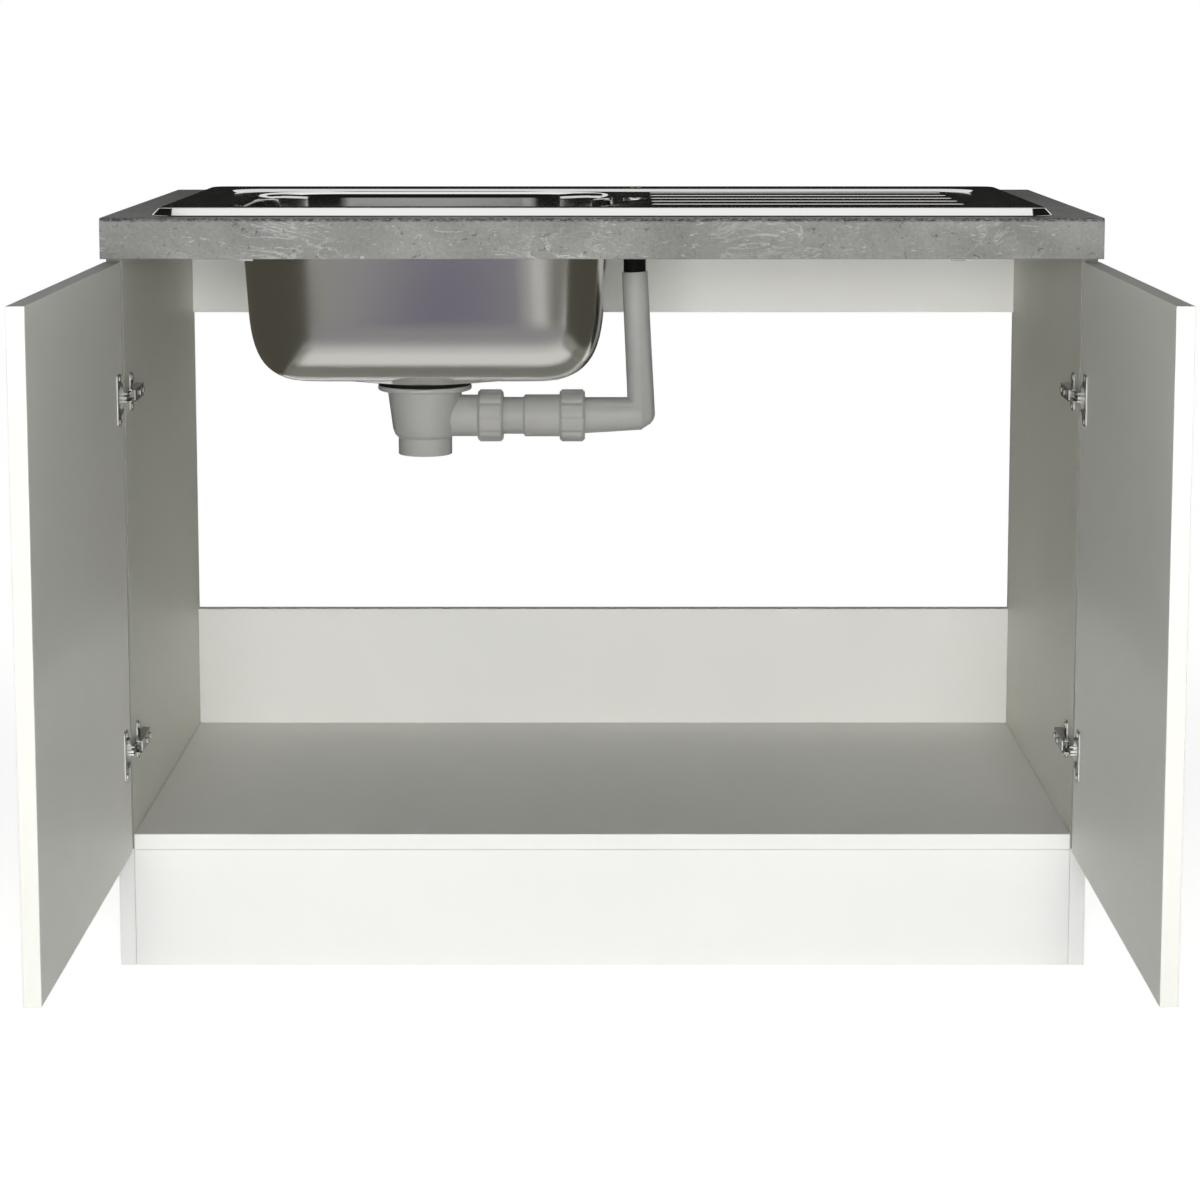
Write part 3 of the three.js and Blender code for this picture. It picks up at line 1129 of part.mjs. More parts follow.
// The black sleeve from the pipe up to the underside of the deck, along Z from the open end of the pipe.
function overflowSleeve() {
  const neck = SLEEVE_NECK_LENGTH;
  const funnel = neck + SLEEVE_FUNNEL_HEIGHT;
  const top = DECK - SHEET - SEAT - LEG_TOP;
  const wall = SLEEVE_WALL;
  const profile = [
    [SLEEVE_SPIGOT_RADIUS - wall, -SLEEVE_SPIGOT_LENGTH],
    [SLEEVE_SPIGOT_RADIUS, -SLEEVE_SPIGOT_LENGTH],
    [SLEEVE_SPIGOT_RADIUS, SEAT],
    [SLEEVE_NECK_RADIUS, SEAT],
    [SLEEVE_NECK_RADIUS, neck],
    [SLEEVE_FUNNEL_RADIUS, funnel],
    [SLEEVE_FUNNEL_RADIUS, top],
    [SLEEVE_FUNNEL_RADIUS - wall, top],
    [SLEEVE_FUNNEL_RADIUS - wall, funnel],
    [SLEEVE_SPIGOT_RADIUS - wall, neck],
    [SLEEVE_SPIGOT_RADIUS - wall, -SLEEVE_SPIGOT_LENGTH],
  ];
  return mesh("overflow_sleeve", turned(profile, MEDIUM_ROUND), blackRubber);
}

function overflowRosette() {
  const seat = DECK + SEAT;
  const top = seat + ROSETTE_THICKNESS;
  const foot = seat - ROSETTE_DEPTH;
  const profile = [
    [ROSETTE_THROAT - ROSETTE_WALL, foot],
    [ROSETTE_THROAT, foot],
    [ROSETTE_THROAT, seat],
    [ROSETTE_RADIUS, seat],
    [ROSETTE_RADIUS - ROSETTE_WALL, top],
    [ROSETTE_THROAT - ROSETTE_WALL, top],
    [ROSETTE_THROAT - ROSETTE_WALL, foot],
  ];
  const across = [-ROSETTE_BAR / 2, ROSETTE_BAR / 2];
  const along = [ROSETTE_WALL / 2 - ROSETTE_THROAT, ROSETTE_THROAT - ROSETTE_WALL / 2];
  const levels = [seat - ROSETTE_THICKNESS, top - ROSETTE_BAR_DROP];
  const cross = [block(along, across, levels), block(across, along, levels)];
  return mesh("overflow_rosette", join(turned(profile, MEDIUM_ROUND), ...cross), stainless);
}

function wasteSet() {
  const group = new THREE.Group();
  const branch = new THREE.Group();
  branch.position.z = SIDE_AXIS;
  branch.add(
    unionNut("union_nut_inlet", NUT_ONE_START, STUB_RADIUS, ADAPTER_TUBE_RADIUS),
    unionNut("union_nut_overflow", NUT_TWO_START, ADAPTER_SOCKET_RADIUS, PIPE_RADIUS),
    sealRing("seal_ring_inlet", STUB_END, ADAPTER_TUBE_RADIUS),
    sealRing("seal_ring_overflow", ADAPTER_SOCKET_END, ADAPTER_SOCKET_RADIUS),
    adapterTube(),
    overflowPipe(),
  );
  const sleeve = overflowSleeve();
  sleeve.position.set(OVERFLOW_REACH, 0, LEG_TOP);
  const rosette = overflowRosette();
  rosette.position.x = OVERFLOW_REACH;
  group.add(strainerFlange(), basketStrainer(), centreScrew(), wasteGasket(), wasteBody());
  group.add(branch, sleeve, rosette);
  group.position.set(WASTE_X, BOWL_MIDDLE, 0);
  return group;
}

// ---------------------------------------------------------------- the unit
const unit = new THREE.Group();
const openReach = -swungOpen(DOOR_SIDE_REVEAL + DOOR_WIDTH, DOOR_FACE)[1];
unit.position.y = (openReach - CARCASE_DEPTH) / 2;
unit.add(
  unitSide("left"),
  unitSide("right"),
  carcase(),
  worktop(),
  worktopBrackets(),
  sinkSheet(),
  sinkSeal(),
  sinkClips(),
  wasteSet(),
);

export default unit;
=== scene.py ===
"""Kitchen sink unit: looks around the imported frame.

Lengths of the part are in millimetres until a mesh is made; materials, lamps and cards are in metres.
Y runs from the open doors, at -564, to the wall, at 564.
"""

import json
import math

import bmesh
import bpy
from mathutils import Matrix, Vector

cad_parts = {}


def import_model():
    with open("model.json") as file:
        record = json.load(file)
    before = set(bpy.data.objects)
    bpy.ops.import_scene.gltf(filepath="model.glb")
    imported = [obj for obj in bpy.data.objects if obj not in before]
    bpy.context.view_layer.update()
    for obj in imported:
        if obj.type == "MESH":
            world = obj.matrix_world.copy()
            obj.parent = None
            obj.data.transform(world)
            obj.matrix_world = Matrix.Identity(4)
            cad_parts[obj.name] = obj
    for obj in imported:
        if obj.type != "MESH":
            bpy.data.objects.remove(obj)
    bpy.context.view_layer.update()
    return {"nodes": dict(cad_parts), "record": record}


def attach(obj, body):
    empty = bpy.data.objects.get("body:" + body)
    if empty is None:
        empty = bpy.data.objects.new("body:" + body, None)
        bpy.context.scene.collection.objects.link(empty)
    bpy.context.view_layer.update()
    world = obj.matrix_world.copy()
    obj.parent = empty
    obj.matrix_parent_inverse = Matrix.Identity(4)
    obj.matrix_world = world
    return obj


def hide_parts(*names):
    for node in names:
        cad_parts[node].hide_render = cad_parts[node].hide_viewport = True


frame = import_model()

MM = 0.001

# ---------------------------------------------------------------- places, as in the part's source
RIM_FRONT, RIM_WIDTH, RIM_LENGTH = -20.7, 500, 1000
RIM_MIDDLE = RIM_FRONT + RIM_WIDTH / 2
RIM_TOP, DECK = 865, 862.5        # the rim's crest, and the recessed deck round bowl and drainer
WASTE = Vector((-211, 214.3, 0))  # axis of the waste
BOWL, BOWL_SIZE = Vector((-203.75, 214.3, 0)), (424.5, 350)
TAP_Y = 436.3
WASTE_SEAT = 649
SIDE_AXIS = 605.7                 # height of the branch to the overflow
OVERFLOW_X = 38                   # of the overflow's hole in the deck
OVERFLOW_REACH = OVERFLOW_X - WASTE.x


# ---------------------------------------------------------------- materials
def node(tree, kind, inputs=None, **settings):
    """A shader node; an input is a number, a colour or another node's output."""
    made = tree.nodes.new("ShaderNode" + kind)
    for key, value in settings.items():
        setattr(made, key, value)
    for key, value in (inputs or {}).items():
        if isinstance(value, bpy.types.NodeSocket):
            tree.links.new(value, made.inputs[key])
        else:
            made.inputs[key].default_value = value
    return made


def ramp(tree, value, stops):
    """A colour ramp over grey levels or colours."""
    made = node(tree, "ValToRGB", {"Fac": value})
    elements = made.color_ramp.elements
    while len(elements) < len(stops):
        elements.new(0.5)
    for element, (place, colour) in zip(elements, stops):
        element.position = place
        if isinstance(colour, (int, float)):
            colour = (colour, colour, colour)
        element.color = (*colour, 1)
    return made.outputs["Color"]


def noise(tree, where, scale, detail=4, rough=0.55, distortion=0.0):
    """Cloudy noise from 0 to 1; scale counts its waves in a metre."""
    made = node(tree, "TexNoise", {"Vector": where, "Scale": scale, "Detail": detail, "Roughness": rough,
                                   "Distortion": distortion})
    return made.outputs["Fac"]


def stretched(tree, where, scale, turn=(0, 0, 0)):
    """The coordinates, scaled and turned; a low scale draws a texture out."""
    return node(tree, "Mapping", {"Vector": where, "Scale": scale, "Rotation": turn}).outputs["Vector"]


def mixed(tree, factor, a, b, blend="MIX"):
    """Colour a turning into b; each may be a colour, a number or a node's output."""
    made = node(tree, "Mix", data_type="RGBA", blend_type=blend)
    for socket, value in ((made.inputs[0], factor), (made.inputs[6], a), (made.inputs[7], b)):
        if isinstance(value, bpy.types.NodeSocket):
            tree.links.new(value, socket)
        elif isinstance(value, (int, float)):
            socket.default_value = value
        else:
            socket.default_value = (*value, 1)
    return made.outputs[2]


def blank_tree(owner):
    """The node tree of a material or world, emptied."""
    owner.use_nodes = True
    owner.node_tree.nodes.clear()
    return owner.node_tree


def material(name, build, **constants):
    """A material around one principled shader; build(tree, shader, where) adds its nodes."""
    made = bpy.data.materials.new(name)
    tree = blank_tree(made)
    shader = node(tree, "BsdfPrincipled")
    for key, value in constants.items():
        shader.inputs[key.replace("_", " ")].default_value = value
    tree.links.new(shader.outputs[0], node(tree, "OutputMaterial").inputs[0])
    build(tree, shader, node(tree, "TexCoord").outputs["Object"])
    return made


def bump(tree, shader, height, depth):
    """Relief of depth metres."""
    made = node(tree, "Bump", {"Height": height, "Strength": 1.0, "Distance": depth})
    tree.links.new(made.outputs[0], shader.inputs["Normal"])


def feed(tree, shader, key, value):
    tree.links.new(value, shader.inputs[key])


EDGE_BAND = (0.87, 0.868, 0.85)
PAINTED_EDGE_SHADE = (0.30, 0.30, 0.265)  # painted shade on the side panels' front edges above the plinth, where the worktop and the doors shade them
BAND_Y = -0.0052                   # a carcase board's front edge lies before this
PLINTH_TOP = 0.137
BOARD_GRAIN, MOULDED_GRAIN, BRUSH_DEPTH = 0.00004, 0.00002, 0.0000002


def board_nodes(pale, dull, rough=(0.42, 0.50), upper_edge_tone=None):
    """Melamine board. Its last argument, if given, is the tone of its front edge above the plinth: the edge band's
    own colour, or, on the side panels, painted shade.
    """
    def build(tree, shader, where):
        tone = ramp(tree, noise(tree, where, 2.5, 3), [(0.35, pale), (0.65, dull)])
        if upper_edge_tone:
            place = node(tree, "SeparateXYZ", {0: where}).outputs
            front = node(tree, "Math", {0: place["Y"], 1: BAND_Y}, operation="LESS_THAN").outputs[0]
            above = node(tree, "Math", {0: place["Z"], 1: PLINTH_TOP}, operation="GREATER_THAN").outputs[0]
            # Below the plinth top the front edge keeps the white edge band; above it the edge takes the given tone,
            # which on the side panels is painted shade.
            tone = mixed(tree, front, tone, mixed(tree, above, EDGE_BAND, upper_edge_tone))
        feed(tree, shader, "Base Color", tone)
        feed(tree, shader, "Roughness", ramp(tree, noise(tree, where, 40, 4), [(0.3, rough[0]), (0.7, rough[1])]))
        bump(tree, shader, noise(tree, where, 700, 2), BOARD_GRAIN)
    return build


ARRIS = (0.850, 0.857)  # heights between which the worktop's front arris turns, and where its painted shade lies
STONE_GRAIN = 0.00012


def stone_nodes(tree, shader, where):
    """Slate decor: clouds, grit, pale veins, strokes and pits, and a dark speckled line of painted shade and
    reflection along the arris.
    """
    soft = noise(tree, stretched(tree, where, (1, 1, 1.6)), 5, 6, 0.6, 1.2)
    body = ramp(tree, soft, [(0.3, (0.205, 0.204, 0.194)), (0.5, (0.255, 0.254, 0.243)),
                             (0.72, (0.34, 0.338, 0.324))])
    grit = noise(tree, where, 260, 5, 0.7)
    body = mixed(tree, 0.5, body, ramp(tree, grit, [(0.3, 0.36), (0.7, 0.66)]), "OVERLAY")
    lean = stretched(tree, where, (0.55, 0.55, 1.7), (0.5, 0.35, 0.4))
    vein = ramp(tree, noise(tree, lean, 11, 8, 0.62, 2.2), [(0.470, 0.0), (0.494, 0.75), (0.503, 0.0)])
    patchy = ramp(tree, noise(tree, where, 6, 3), [(0.48, 0.0), (0.62, 1.0)])
    body = mixed(tree, mixed(tree, 1.0, vein, patchy, "MULTIPLY"), body, (0.55, 0.55, 0.53))
    strokes = noise(tree, stretched(tree, where, (0.35, 0.35, 1.5), (0.9, 0.2, 0.7)), 150, 3, 0.6, 1.5)
    body = mixed(tree, ramp(tree, strokes, [(0.63, 0.0), (0.70, 0.8)]), body, (0.50, 0.50, 0.48))
    pits = ramp(tree, noise(tree, where, 110, 3, 0.6, 1.0), [(0.30, 0.75), (0.37, 0.0)])
    body = mixed(tree, pits, body, (0.10, 0.10, 0.095))
    # Painted shade and reflection: a dark speckled band where the front arris turns, as the rounded edge mirrors the
    # dark space above it.
    height = node(tree, "SeparateXYZ", {0: where}).outputs["Z"]
    level = node(tree, "MapRange", {"Value": height, "From Min": ARRIS[0], "From Max": ARRIS[1]}).outputs[0]
    arris = ramp(tree, level, [(0.21, 0.0), (0.45, 0.85), (0.82, 0.85), (0.855, 0.42)])
    specks = noise(tree, stretched(tree, where, (0.5, 0.5, 1)), 420, 4, 0.7)
    body = mixed(tree, arris, body, ramp(tree, specks, [(0.42, 0.035), (0.60, 0.30)]))
    feed(tree, shader, "Base Color", body)
    feed(tree, shader, "Roughness", ramp(tree, grit, [(0.3, 0.30), (0.7, 0.44)]))
    bump(tree, shader, mixed(tree, 0.5, grit, soft), STONE_GRAIN)


BOWL_ROUGH, SATIN_FADE = (0.17, 0.195), 0.03


def steel_nodes(direction, colour, low, high, satin_below=None):
    """Brushed metal; below satin_below metres it is as rough as a drawn, unpolished bowl."""
    def build(tree, shader, where):
        brush = noise(tree, stretched(tree, where, direction), 900, 3, 0.7)
        cloud = noise(tree, where, 5, 2, 0.5)
        tint = ramp(tree, cloud, [(0.3, [c * 0.97 for c in colour]), (0.7, colour)])
        feed(tree, shader, "Base Color", tint)
        rough = ramp(tree, brush, [(0.3, low), (0.7, high)])
        if satin_below:
            height = node(tree, "SeparateXYZ", {0: where}).outputs["Z"]
            drawn = node(tree, "MapRange", {"Value": height, "From Min": satin_below,
                                            "From Max": satin_below - SATIN_FADE}).outputs[0]
            satin = ramp(tree, brush, [(0.3, BOWL_ROUGH[0]), (0.7, BOWL_ROUGH[1])])
            rough = mixed(tree, drawn, rough, satin)
        feed(tree, shader, "Roughness", rough)
        bump(tree, shader, brush, BRUSH_DEPTH)
    return build


def nickel_nodes(tree, shader, where):
    """Dull plating; the stamped edges that look forward while the doors are open carry a painted highlight."""
    steel_nodes((1, 1, 0.2), (0.27, 0.267, 0.255), 0.10, 0.18)(tree, shader, where)
    # Painted highlight: faces that point forward, towards -Y, are painted near white.
    normal = node(tree, "TexCoord").outputs["Normal"]
    ahead = node(tree, "SeparateXYZ", {0: normal}).outputs["Y"]
    bright = node(tree, "MapRange", {"Value": ahead, "From Min": -0.55, "From Max": -0.85}).outputs[0]
    plated = shader.inputs["Base Color"].links[0].from_socket
    feed(tree, shader, "Base Color", mixed(tree, bright, plated, (0.97, 0.965, 0.94)))


def plastic_nodes(pale, dull):
    def build(tree, shader, where):
        cloud = noise(tree, where, 18, 4)
        feed(tree, shader, "Base Color", ramp(tree, cloud, [(0.3, dull), (0.7, pale)]))
        feed(tree, shader, "Roughness", ramp(tree, noise(tree, where, 90, 3), [(0.3, 0.42), (0.7, 0.55)]))
        bump(tree, shader, noise(tree, where, 1500, 2), MOULDED_GRAIN)
    return build


def rubber_nodes(tree, shader, where):
    feed(tree, shader, "Base Color", ramp(tree, noise(tree, where, 120, 3), [(0.3, 0.003), (0.7, 0.008)]))
    feed(tree, shader, "Roughness", ramp(tree, noise(tree, where, 300, 3), [(0.3, 0.55), (0.7, 0.75)]))
    bump(tree, shader, noise(tree, where, 2200, 2), MOULDED_GRAIN)


WHITE_BOARD = material("white_melamine", board_nodes((0.80, 0.795, 0.76), (0.775, 0.77, 0.735), (0.44, 0.52),
                                                     EDGE_BAND), Specular_IOR_Level=0.3)
# The side panels are painted a darker, warmer grey than the other white boards: painted shade of the cabinet's
# inside.
SIDE_BOARD = material("side_melamine", board_nodes((0.71, 0.71, 0.635), (0.685, 0.685, 0.61), (0.44, 0.52),
                                                   PAINTED_EDGE_SHADE), Specular_IOR_Level=0.25)
DOOR_BOARD = material("door_melamine", board_nodes((0.82, 0.82, 0.765), (0.79, 0.79, 0.735)),
                      Specular_IOR_Level=0.3)
# The plinth is painted lighter than the other white boards: painted light, as the bright floor lights it.
PLINTH_BOARD = material("plinth_melamine", board_nodes((0.88, 0.878, 0.86), (0.86, 0.857, 0.84)),
                        Specular_IOR_Level=0.3)
STONE = material("slate_decor", stone_nodes, Specular_IOR_Level=0.1)
STEEL = material("satin_stainless", steel_nodes((0.04, 1, 1), (0.66, 0.655, 0.635), 0.06, 0.10, satin_below=0.85),
                 Metallic=1.0)
NICKEL = material("nickel_plate", nickel_nodes, Metallic=0.5)
GREY_PLASTIC = material("grey_polypropylene", plastic_nodes((0.37, 0.368, 0.352), (0.335, 0.333, 0.318)))
RUBBER = material("black_rubber", rubber_nodes, Specular_IOR_Level=0.2)

SLOT_MATERIALS = {"white_board": WHITE_BOARD, "door_board": DOOR_BOARD, "stone_decor": STONE, "stainless": STEEL,
                  "nickel": NICKEL, "grey_plastic": GREY_PLASTIC, "black_rubber": RUBBER}
NODE_MATERIALS = {"plinth_board": PLINTH_BOARD, "side_panel_left": SIDE_BOARD, "side_panel_right": SIDE_BOARD}
SLOT_OF = {part["node"]: part["material_slot"] for part in frame["record"]["subparts"]}
BODY_OF = {name: body for body, names in frame["record"]["behaviour"]["bodies"].items() for name in names}


def dress(data, cad):
    """Gives a mesh the material of a CAD node."""
    data.materials.clear()
    data.materials.append(NODE_MATERIALS.get(cad, SLOT_MATERIALS[SLOT_OF[cad]]))


for cad_name in SLOT_OF:
    dress(frame["nodes"][cad_name].data, cad_name)


# ---------------------------------------------------------------- meshes
def add_rings(bm, rings, closed=False, cap=(False, False)):
    """Faces over rings of equal count; closed joins the last ring to the first. Gives both end rings."""
    rows = [[bm.verts.new(p) for p in ring] for ring in rings]
    for a, b in list(zip(rows, rows[1:])) + ([(rows[-1], rows[0])] if closed else []):
        for i, j in zip(range(len(a)), [*range(1, len(a)), 0]):
            bm.faces.new((a[i], a[j], b[j], b[i]))
    for end, row in zip(cap, (rows[0], rows[-1])):
        if end:
            bm.faces.new(row)
    return rows[0], rows[-1]


def mesh_of(rings, **how):
    bm = bmesh.new()
    add_rings(bm, rings, **how)
    return bm


def tidy(bm):
    """Joins points that fall together and turns all faces outwards."""
    bmesh.ops.remove_doubles(bm, verts=bm.verts, dist=1e-4)
    bmesh.ops.dissolve_degenerate(bm, edges=bm.edges, dist=1e-5)
    bmesh.ops.recalc_face_normals(bm, faces=bm.faces)
    return bm


def linked(name, data):
    """A new object in the scene."""
    made = bpy.data.objects.new(name, data)
    bpy.context.scene.collection.objects.link(made)
    return made


def object_of(bm, name):
    """A new object that holds a bmesh, which is used up."""
    data = bpy.data.meshes.new(name)
    bm.to_mesh(data)
    bm.free()
    return linked(name, data)


def temporary(bm, place=None):
    """An object that holds a bmesh in metres, for cutting and joining."""
    bmesh.ops.transform(bm, matrix=Matrix.Scale(MM, 4) @ (place or Matrix()), verts=bm.verts)
    bmesh.ops.recalc_face_normals(bm, faces=bm.faces)
    return object_of(bm, "work")


def combined(base, steps):
    """base with each (operation, object) of steps applied; all of them are used up."""
    for operation, other in steps:
        modifier = base.modifiers.new("step", "BOOLEAN")
        modifier.operation, modifier.object, modifier.solver = operation, other, "EXACT"
    return applied(base, [other for _, other in steps])


def applied(base, spare=()):
    """base with its modifiers turned into mesh."""
    graph = bpy.context.evaluated_depsgraph_get()
    data = bpy.data.meshes.new_from_object(base.evaluated_get(graph))
    base.modifiers.clear()
    base.data = data
    for other in spare:
        bpy.data.objects.remove(other)
    return base


def show(made, name, cad, angle=32):
    """Names a finished object, shades it and lets it stand for its CAD node."""
    made.name = made.data.name = name
    data = made.data
    dress(data, cad)
    data.polygons.foreach_set("use_smooth", [True] * len(data.polygons))
    data.set_sharp_from_angle(angle=math.radians(angle))
    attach(made, BODY_OF[cad])
    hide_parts(cad)


STRAIGHT = 0.05    # radians; a corner that turns less than this stays as it is
SIDE_SHARE = 0.45  # a rounding takes this much of a side at most


def filleted(points, radius, steps=3, closed=True):
    """A polyline of (u, v) points with every corner rounded as far as its sides allow."""
    rounded = []
    count = len(points)
    for i, corner in enumerate(points):
        if not closed and i in (0, count - 1):
            rounded.append(Vector(corner))
            continue
        here = Vector(corner)
        back, ahead = Vector(points[i - 1]) - here, Vector(points[(i + 1) % count]) - here
        turn = back.angle(ahead, math.pi)
        if math.pi - turn < STRAIGHT:
            rounded.append(here)
            continue
        reach = min(radius / math.tan(turn / 2), back.length * SIDE_SHARE, ahead.length * SIDE_SHARE)
        start, end = here + back.normalized() * reach, here + ahead.normalized() * reach
        for k in range(steps + 1):
            t = k / steps
            rounded.append(start * (1 - t) ** 2 + here * 2 * t * (1 - t) + end * t ** 2)
    return rounded


def around(sides):
    """The angles of so many points round a circle."""
    return [2 * math.pi * i / sides for i in range(sides)]


def turned(profile, sides=64, round_by=0.5, steps=3):
    """A closed (radius, height) profile turned about Z."""
    points = [(max(p.x, 0), p.y) for p in filleted(profile, round_by, steps)]
    return tidy(mesh_of([[Vector((radius * math.cos(t), radius * math.sin(t), height)) for radius, height in points]
                         for t in around(sides)], closed=True))


def rod(start, end, r0, r1=None, sides=48):
    """A capped cone between two points."""
    a, b = Vector(start), Vector(end)
    turn = (b - a).to_track_quat("Z", "Y").to_matrix()
    rings = []
    for centre, radius in ((a, r0), (b, r0 if r1 is None else r1)):
        rings.append([centre + turn @ Vector((radius * math.cos(t), radius * math.sin(t), 0))
                      for t in around(sides)])
    return mesh_of(rings, cap=(True, True))


CORNERS = ((1, 1), (-1, 1), (-1, -1), (1, -1))
CORNER_STEPS = 14


def rounded_ring(middle, half, radius, z, steps=CORNER_STEPS):
    """A level rectangle of half sizes half, with round corners."""
    ring = []
    for corner, (sx, sy) in enumerate(CORNERS):
        for i in range(steps + 1):
            angle = (corner + i / steps) * math.pi / 2
            ring.append(Vector((middle[0] + sx * (half[0] - radius) + radius * math.cos(angle),
                                middle[1] + sy * (half[1] - radius) + radius * math.sin(angle), z)))
    return ring


# ---------------------------------------------------------------- sink
EASE, PULL = 1.375, 0.766  # a drawn corner is this much longer than its arc, and pulled this much to its point


def eased(t):
    """Share of a drawn corner's far end at t of the way round it."""
    return t ** 3 + 3 * t * t * (1 - t) * (1 - PULL)


def drawn_ring(middle, half, radius, z):
    """As rounded_ring, with corners that ease into their sides."""
    ring, reach = [], EASE * radius
    shares = [i / CORNER_STEPS for i in range(CORNER_STEPS + 1)]
    for corner, (sx, sy) in enumerate(CORNERS):
        point = Vector((middle[0] + sx * half[0], middle[1] + sy * half[1], z))
        turn = Matrix.Rotation(corner * math.pi / 2, 3, "Z")
        start, end = turn @ Vector((0, -reach, 0)), turn @ Vector((-reach, 0, 0))
        ring += [point + start * eased(1 - t) + end * eased(t) for t in shares]
    return ring


def rim_ring(inset, z):
    corner, least = 26, 8
    half = (RIM_LENGTH / 2 - inset, RIM_WIDTH / 2 - inset)
    return rounded_ring((0, RIM_MIDDLE), half, max(corner - inset, least), z)


def recess_ring(inset, z):
    border, ledge, corner = 42, 76, 38  # the ledge at the back holds the tap
    front, back = RIM_FRONT + border + inset, RIM_FRONT + RIM_WIDTH - ledge - inset
    half = (RIM_LENGTH / 2 - border - inset, (back - front) / 2)
    return rounded_ring((0, (front + back) / 2), half, corner - inset / 2, z)


def bowl_rings():
    """The bowl's inner skin, from its mouth on the deck down to the seat of the waste."""
    draft, shoulder, foot, floor = math.radians(4), 7, 58, DECK - 213.5 + 9.3
    corner, least = 80, 22               # corner radius at the mouth, and the least one lower down
    sump, seat = 60, 40.5                # radii of the hollow round the waste, and of the waste's hole
    shoulder_steps, foot_steps = 6, 16

    def ring(inset, z):
        return drawn_ring(BOWL, [side / 2 - inset for side in BOWL_SIZE], max(corner - inset, least), z)

    rings = []
    for i in range(shoulder_steps + 1):
        angle = i / shoulder_steps * (math.pi / 2 - draft)
        rings.append(ring(shoulder * math.sin(angle) - shoulder, DECK - shoulder + shoulder * math.cos(angle)))
    for below in (1.5, 5):               # these keep the wall's shading flat up to the shoulder
        rings.append(ring(below * math.tan(draft), DECK - shoulder - below))
    point = Vector(((DECK - shoulder - floor) * math.tan(draft), floor))
    up = Vector((-math.sin(draft), math.cos(draft))) * EASE * foot
    along = Vector((EASE * foot, 0))
    for i in range(foot_steps + 1):
        rings.append(ring(*point + up * eased(1 - i / foot_steps) + along * eased(i / foot_steps)))
    reach = point.x + along.x
    half = [side / 2 - reach for side in BOWL_SIZE]
    for t in (0.3, 0.6, 0.85, 1):
        sizes = [side * (1 - t) + sump * t for side in half]
        rings.append(rounded_ring(BOWL.lerp(WASTE, t), sizes, least * (1 - t) + sump * t,
                                  floor + (WASTE_SEAT - floor) * t))
    rings.append(rounded_ring(WASTE, (seat, seat), seat, WASTE_SEAT))
    return rings


RIBS, FIRST_RIB, RIB_PITCH = 5, 90, 61  # the first rib's distance from the rim's front edge, and to the next
RIB_MIDDLE, RIB_REACH, RIB_HALF, RIB_HEIGHT = 232.5, 177.5, 7, 2.4
RIB_CORNER, RIB_STEPS = 6.9, 5


def rib_rings(index):
    """One rib of the drainer: a low wave across, with round ends."""
    y = RIM_FRONT + FIRST_RIB + index * RIB_PITCH
    rings = []
    for inset in (0, 0.9, 1.8, 2.8, 3.8, 4.8, 5.8, 6.6):
        rise = RIB_HEIGHT * (1 + math.cos(math.pi * inset / RIB_HALF)) / 2
        half = (RIB_REACH - inset, RIB_HALF - inset)
        rings.append(rounded_ring((RIB_MIDDLE, y), half, RIB_CORNER - inset, DECK + rise, RIB_STEPS))
    return rings


def fill_between(bm, loops):
    """A flat face inside the first loop, round all the others."""
    edges = []
    for loop in loops:
        for i, j in zip(range(len(loop)), [*range(1, len(loop)), 0]):
            edges.append(bm.edges.get((loop[i], loop[j])) or bm.edges.new((loop[i], loop[j])))
    bmesh.ops.triangle_fill(bm, use_beauty=True, use_dissolve=False, edges=edges, normal=(0, 0, 1))


def circle(bm, centre, radius, z):
    return [bm.verts.new((centre[0] + radius * math.cos(t), centre[1] + radius * math.sin(t), z)) for t in around(48)]


# (inset, height) across the rim's outer edge and across the step down to the deck
RIM_EDGE = [(0, 856.3), (0, 857.1), (8, 864.6), (10.5, RIM_TOP)]
DECK_STEP = [(-1, RIM_TOP), (1, RIM_TOP), (6, DECK), (8, DECK)]
TAP_HOLE, OVERFLOW_HOLE, SHEET = 17.5, 10, 1


def sink():
    bm = bmesh.new()
    _, crest = add_rings(bm, [rim_ring(p.x, p.y) for p in filleted(RIM_EDGE, 1.6, 4, closed=False)])
    step = [recess_ring(p.x, p.y) for p in filleted(DECK_STEP, 2.5, 4, closed=False)]
    recess_top, recess_foot = add_rings(bm, step)
    mouth, _ = add_rings(bm, bowl_rings())
    ribs = [add_rings(bm, rib_rings(i), cap=(False, True))[0] for i in range(RIBS)]
    tap = circle(bm, (OVERFLOW_X, TAP_Y), TAP_HOLE, RIM_TOP)
    overflow = circle(bm, (OVERFLOW_X, WASTE.y), OVERFLOW_HOLE, DECK)
    fill_between(bm, [crest, recess_top, tap])
    fill_between(bm, [recess_foot, mouth, overflow, *ribs])
    bmesh.ops.recalc_face_normals(bm, faces=bm.faces)
    top = max(bm.faces, key=lambda f: f.calc_center_median().z)
    if top.normal.z < 0:
        bmesh.ops.reverse_faces(bm, faces=bm.faces)
    bmesh.ops.transform(bm, matrix=Matrix.Scale(MM, 4), verts=bm.verts)
    made = object_of(bm, "sink_sheet")
    solid = made.modifiers.new("sheet", "SOLIDIFY")
    solid.thickness, solid.offset = SHEET * MM, -1
    show(applied(made), "sink_sheet", "sink", angle=40)


# ---------------------------------------------------------------- waste and overflow set
def waste_place(x=0, z=0):
    return Matrix.Translation(WASTE + Vector((x, 0, z)))


def waste_gasket():
    profile = [(42, 643.3), (55, 643.3), (55, 647.7), (42, 647.7)]
    show(temporary(turned(profile, 96, 0.8), waste_place()), "gasket_ring", "waste_gasket")


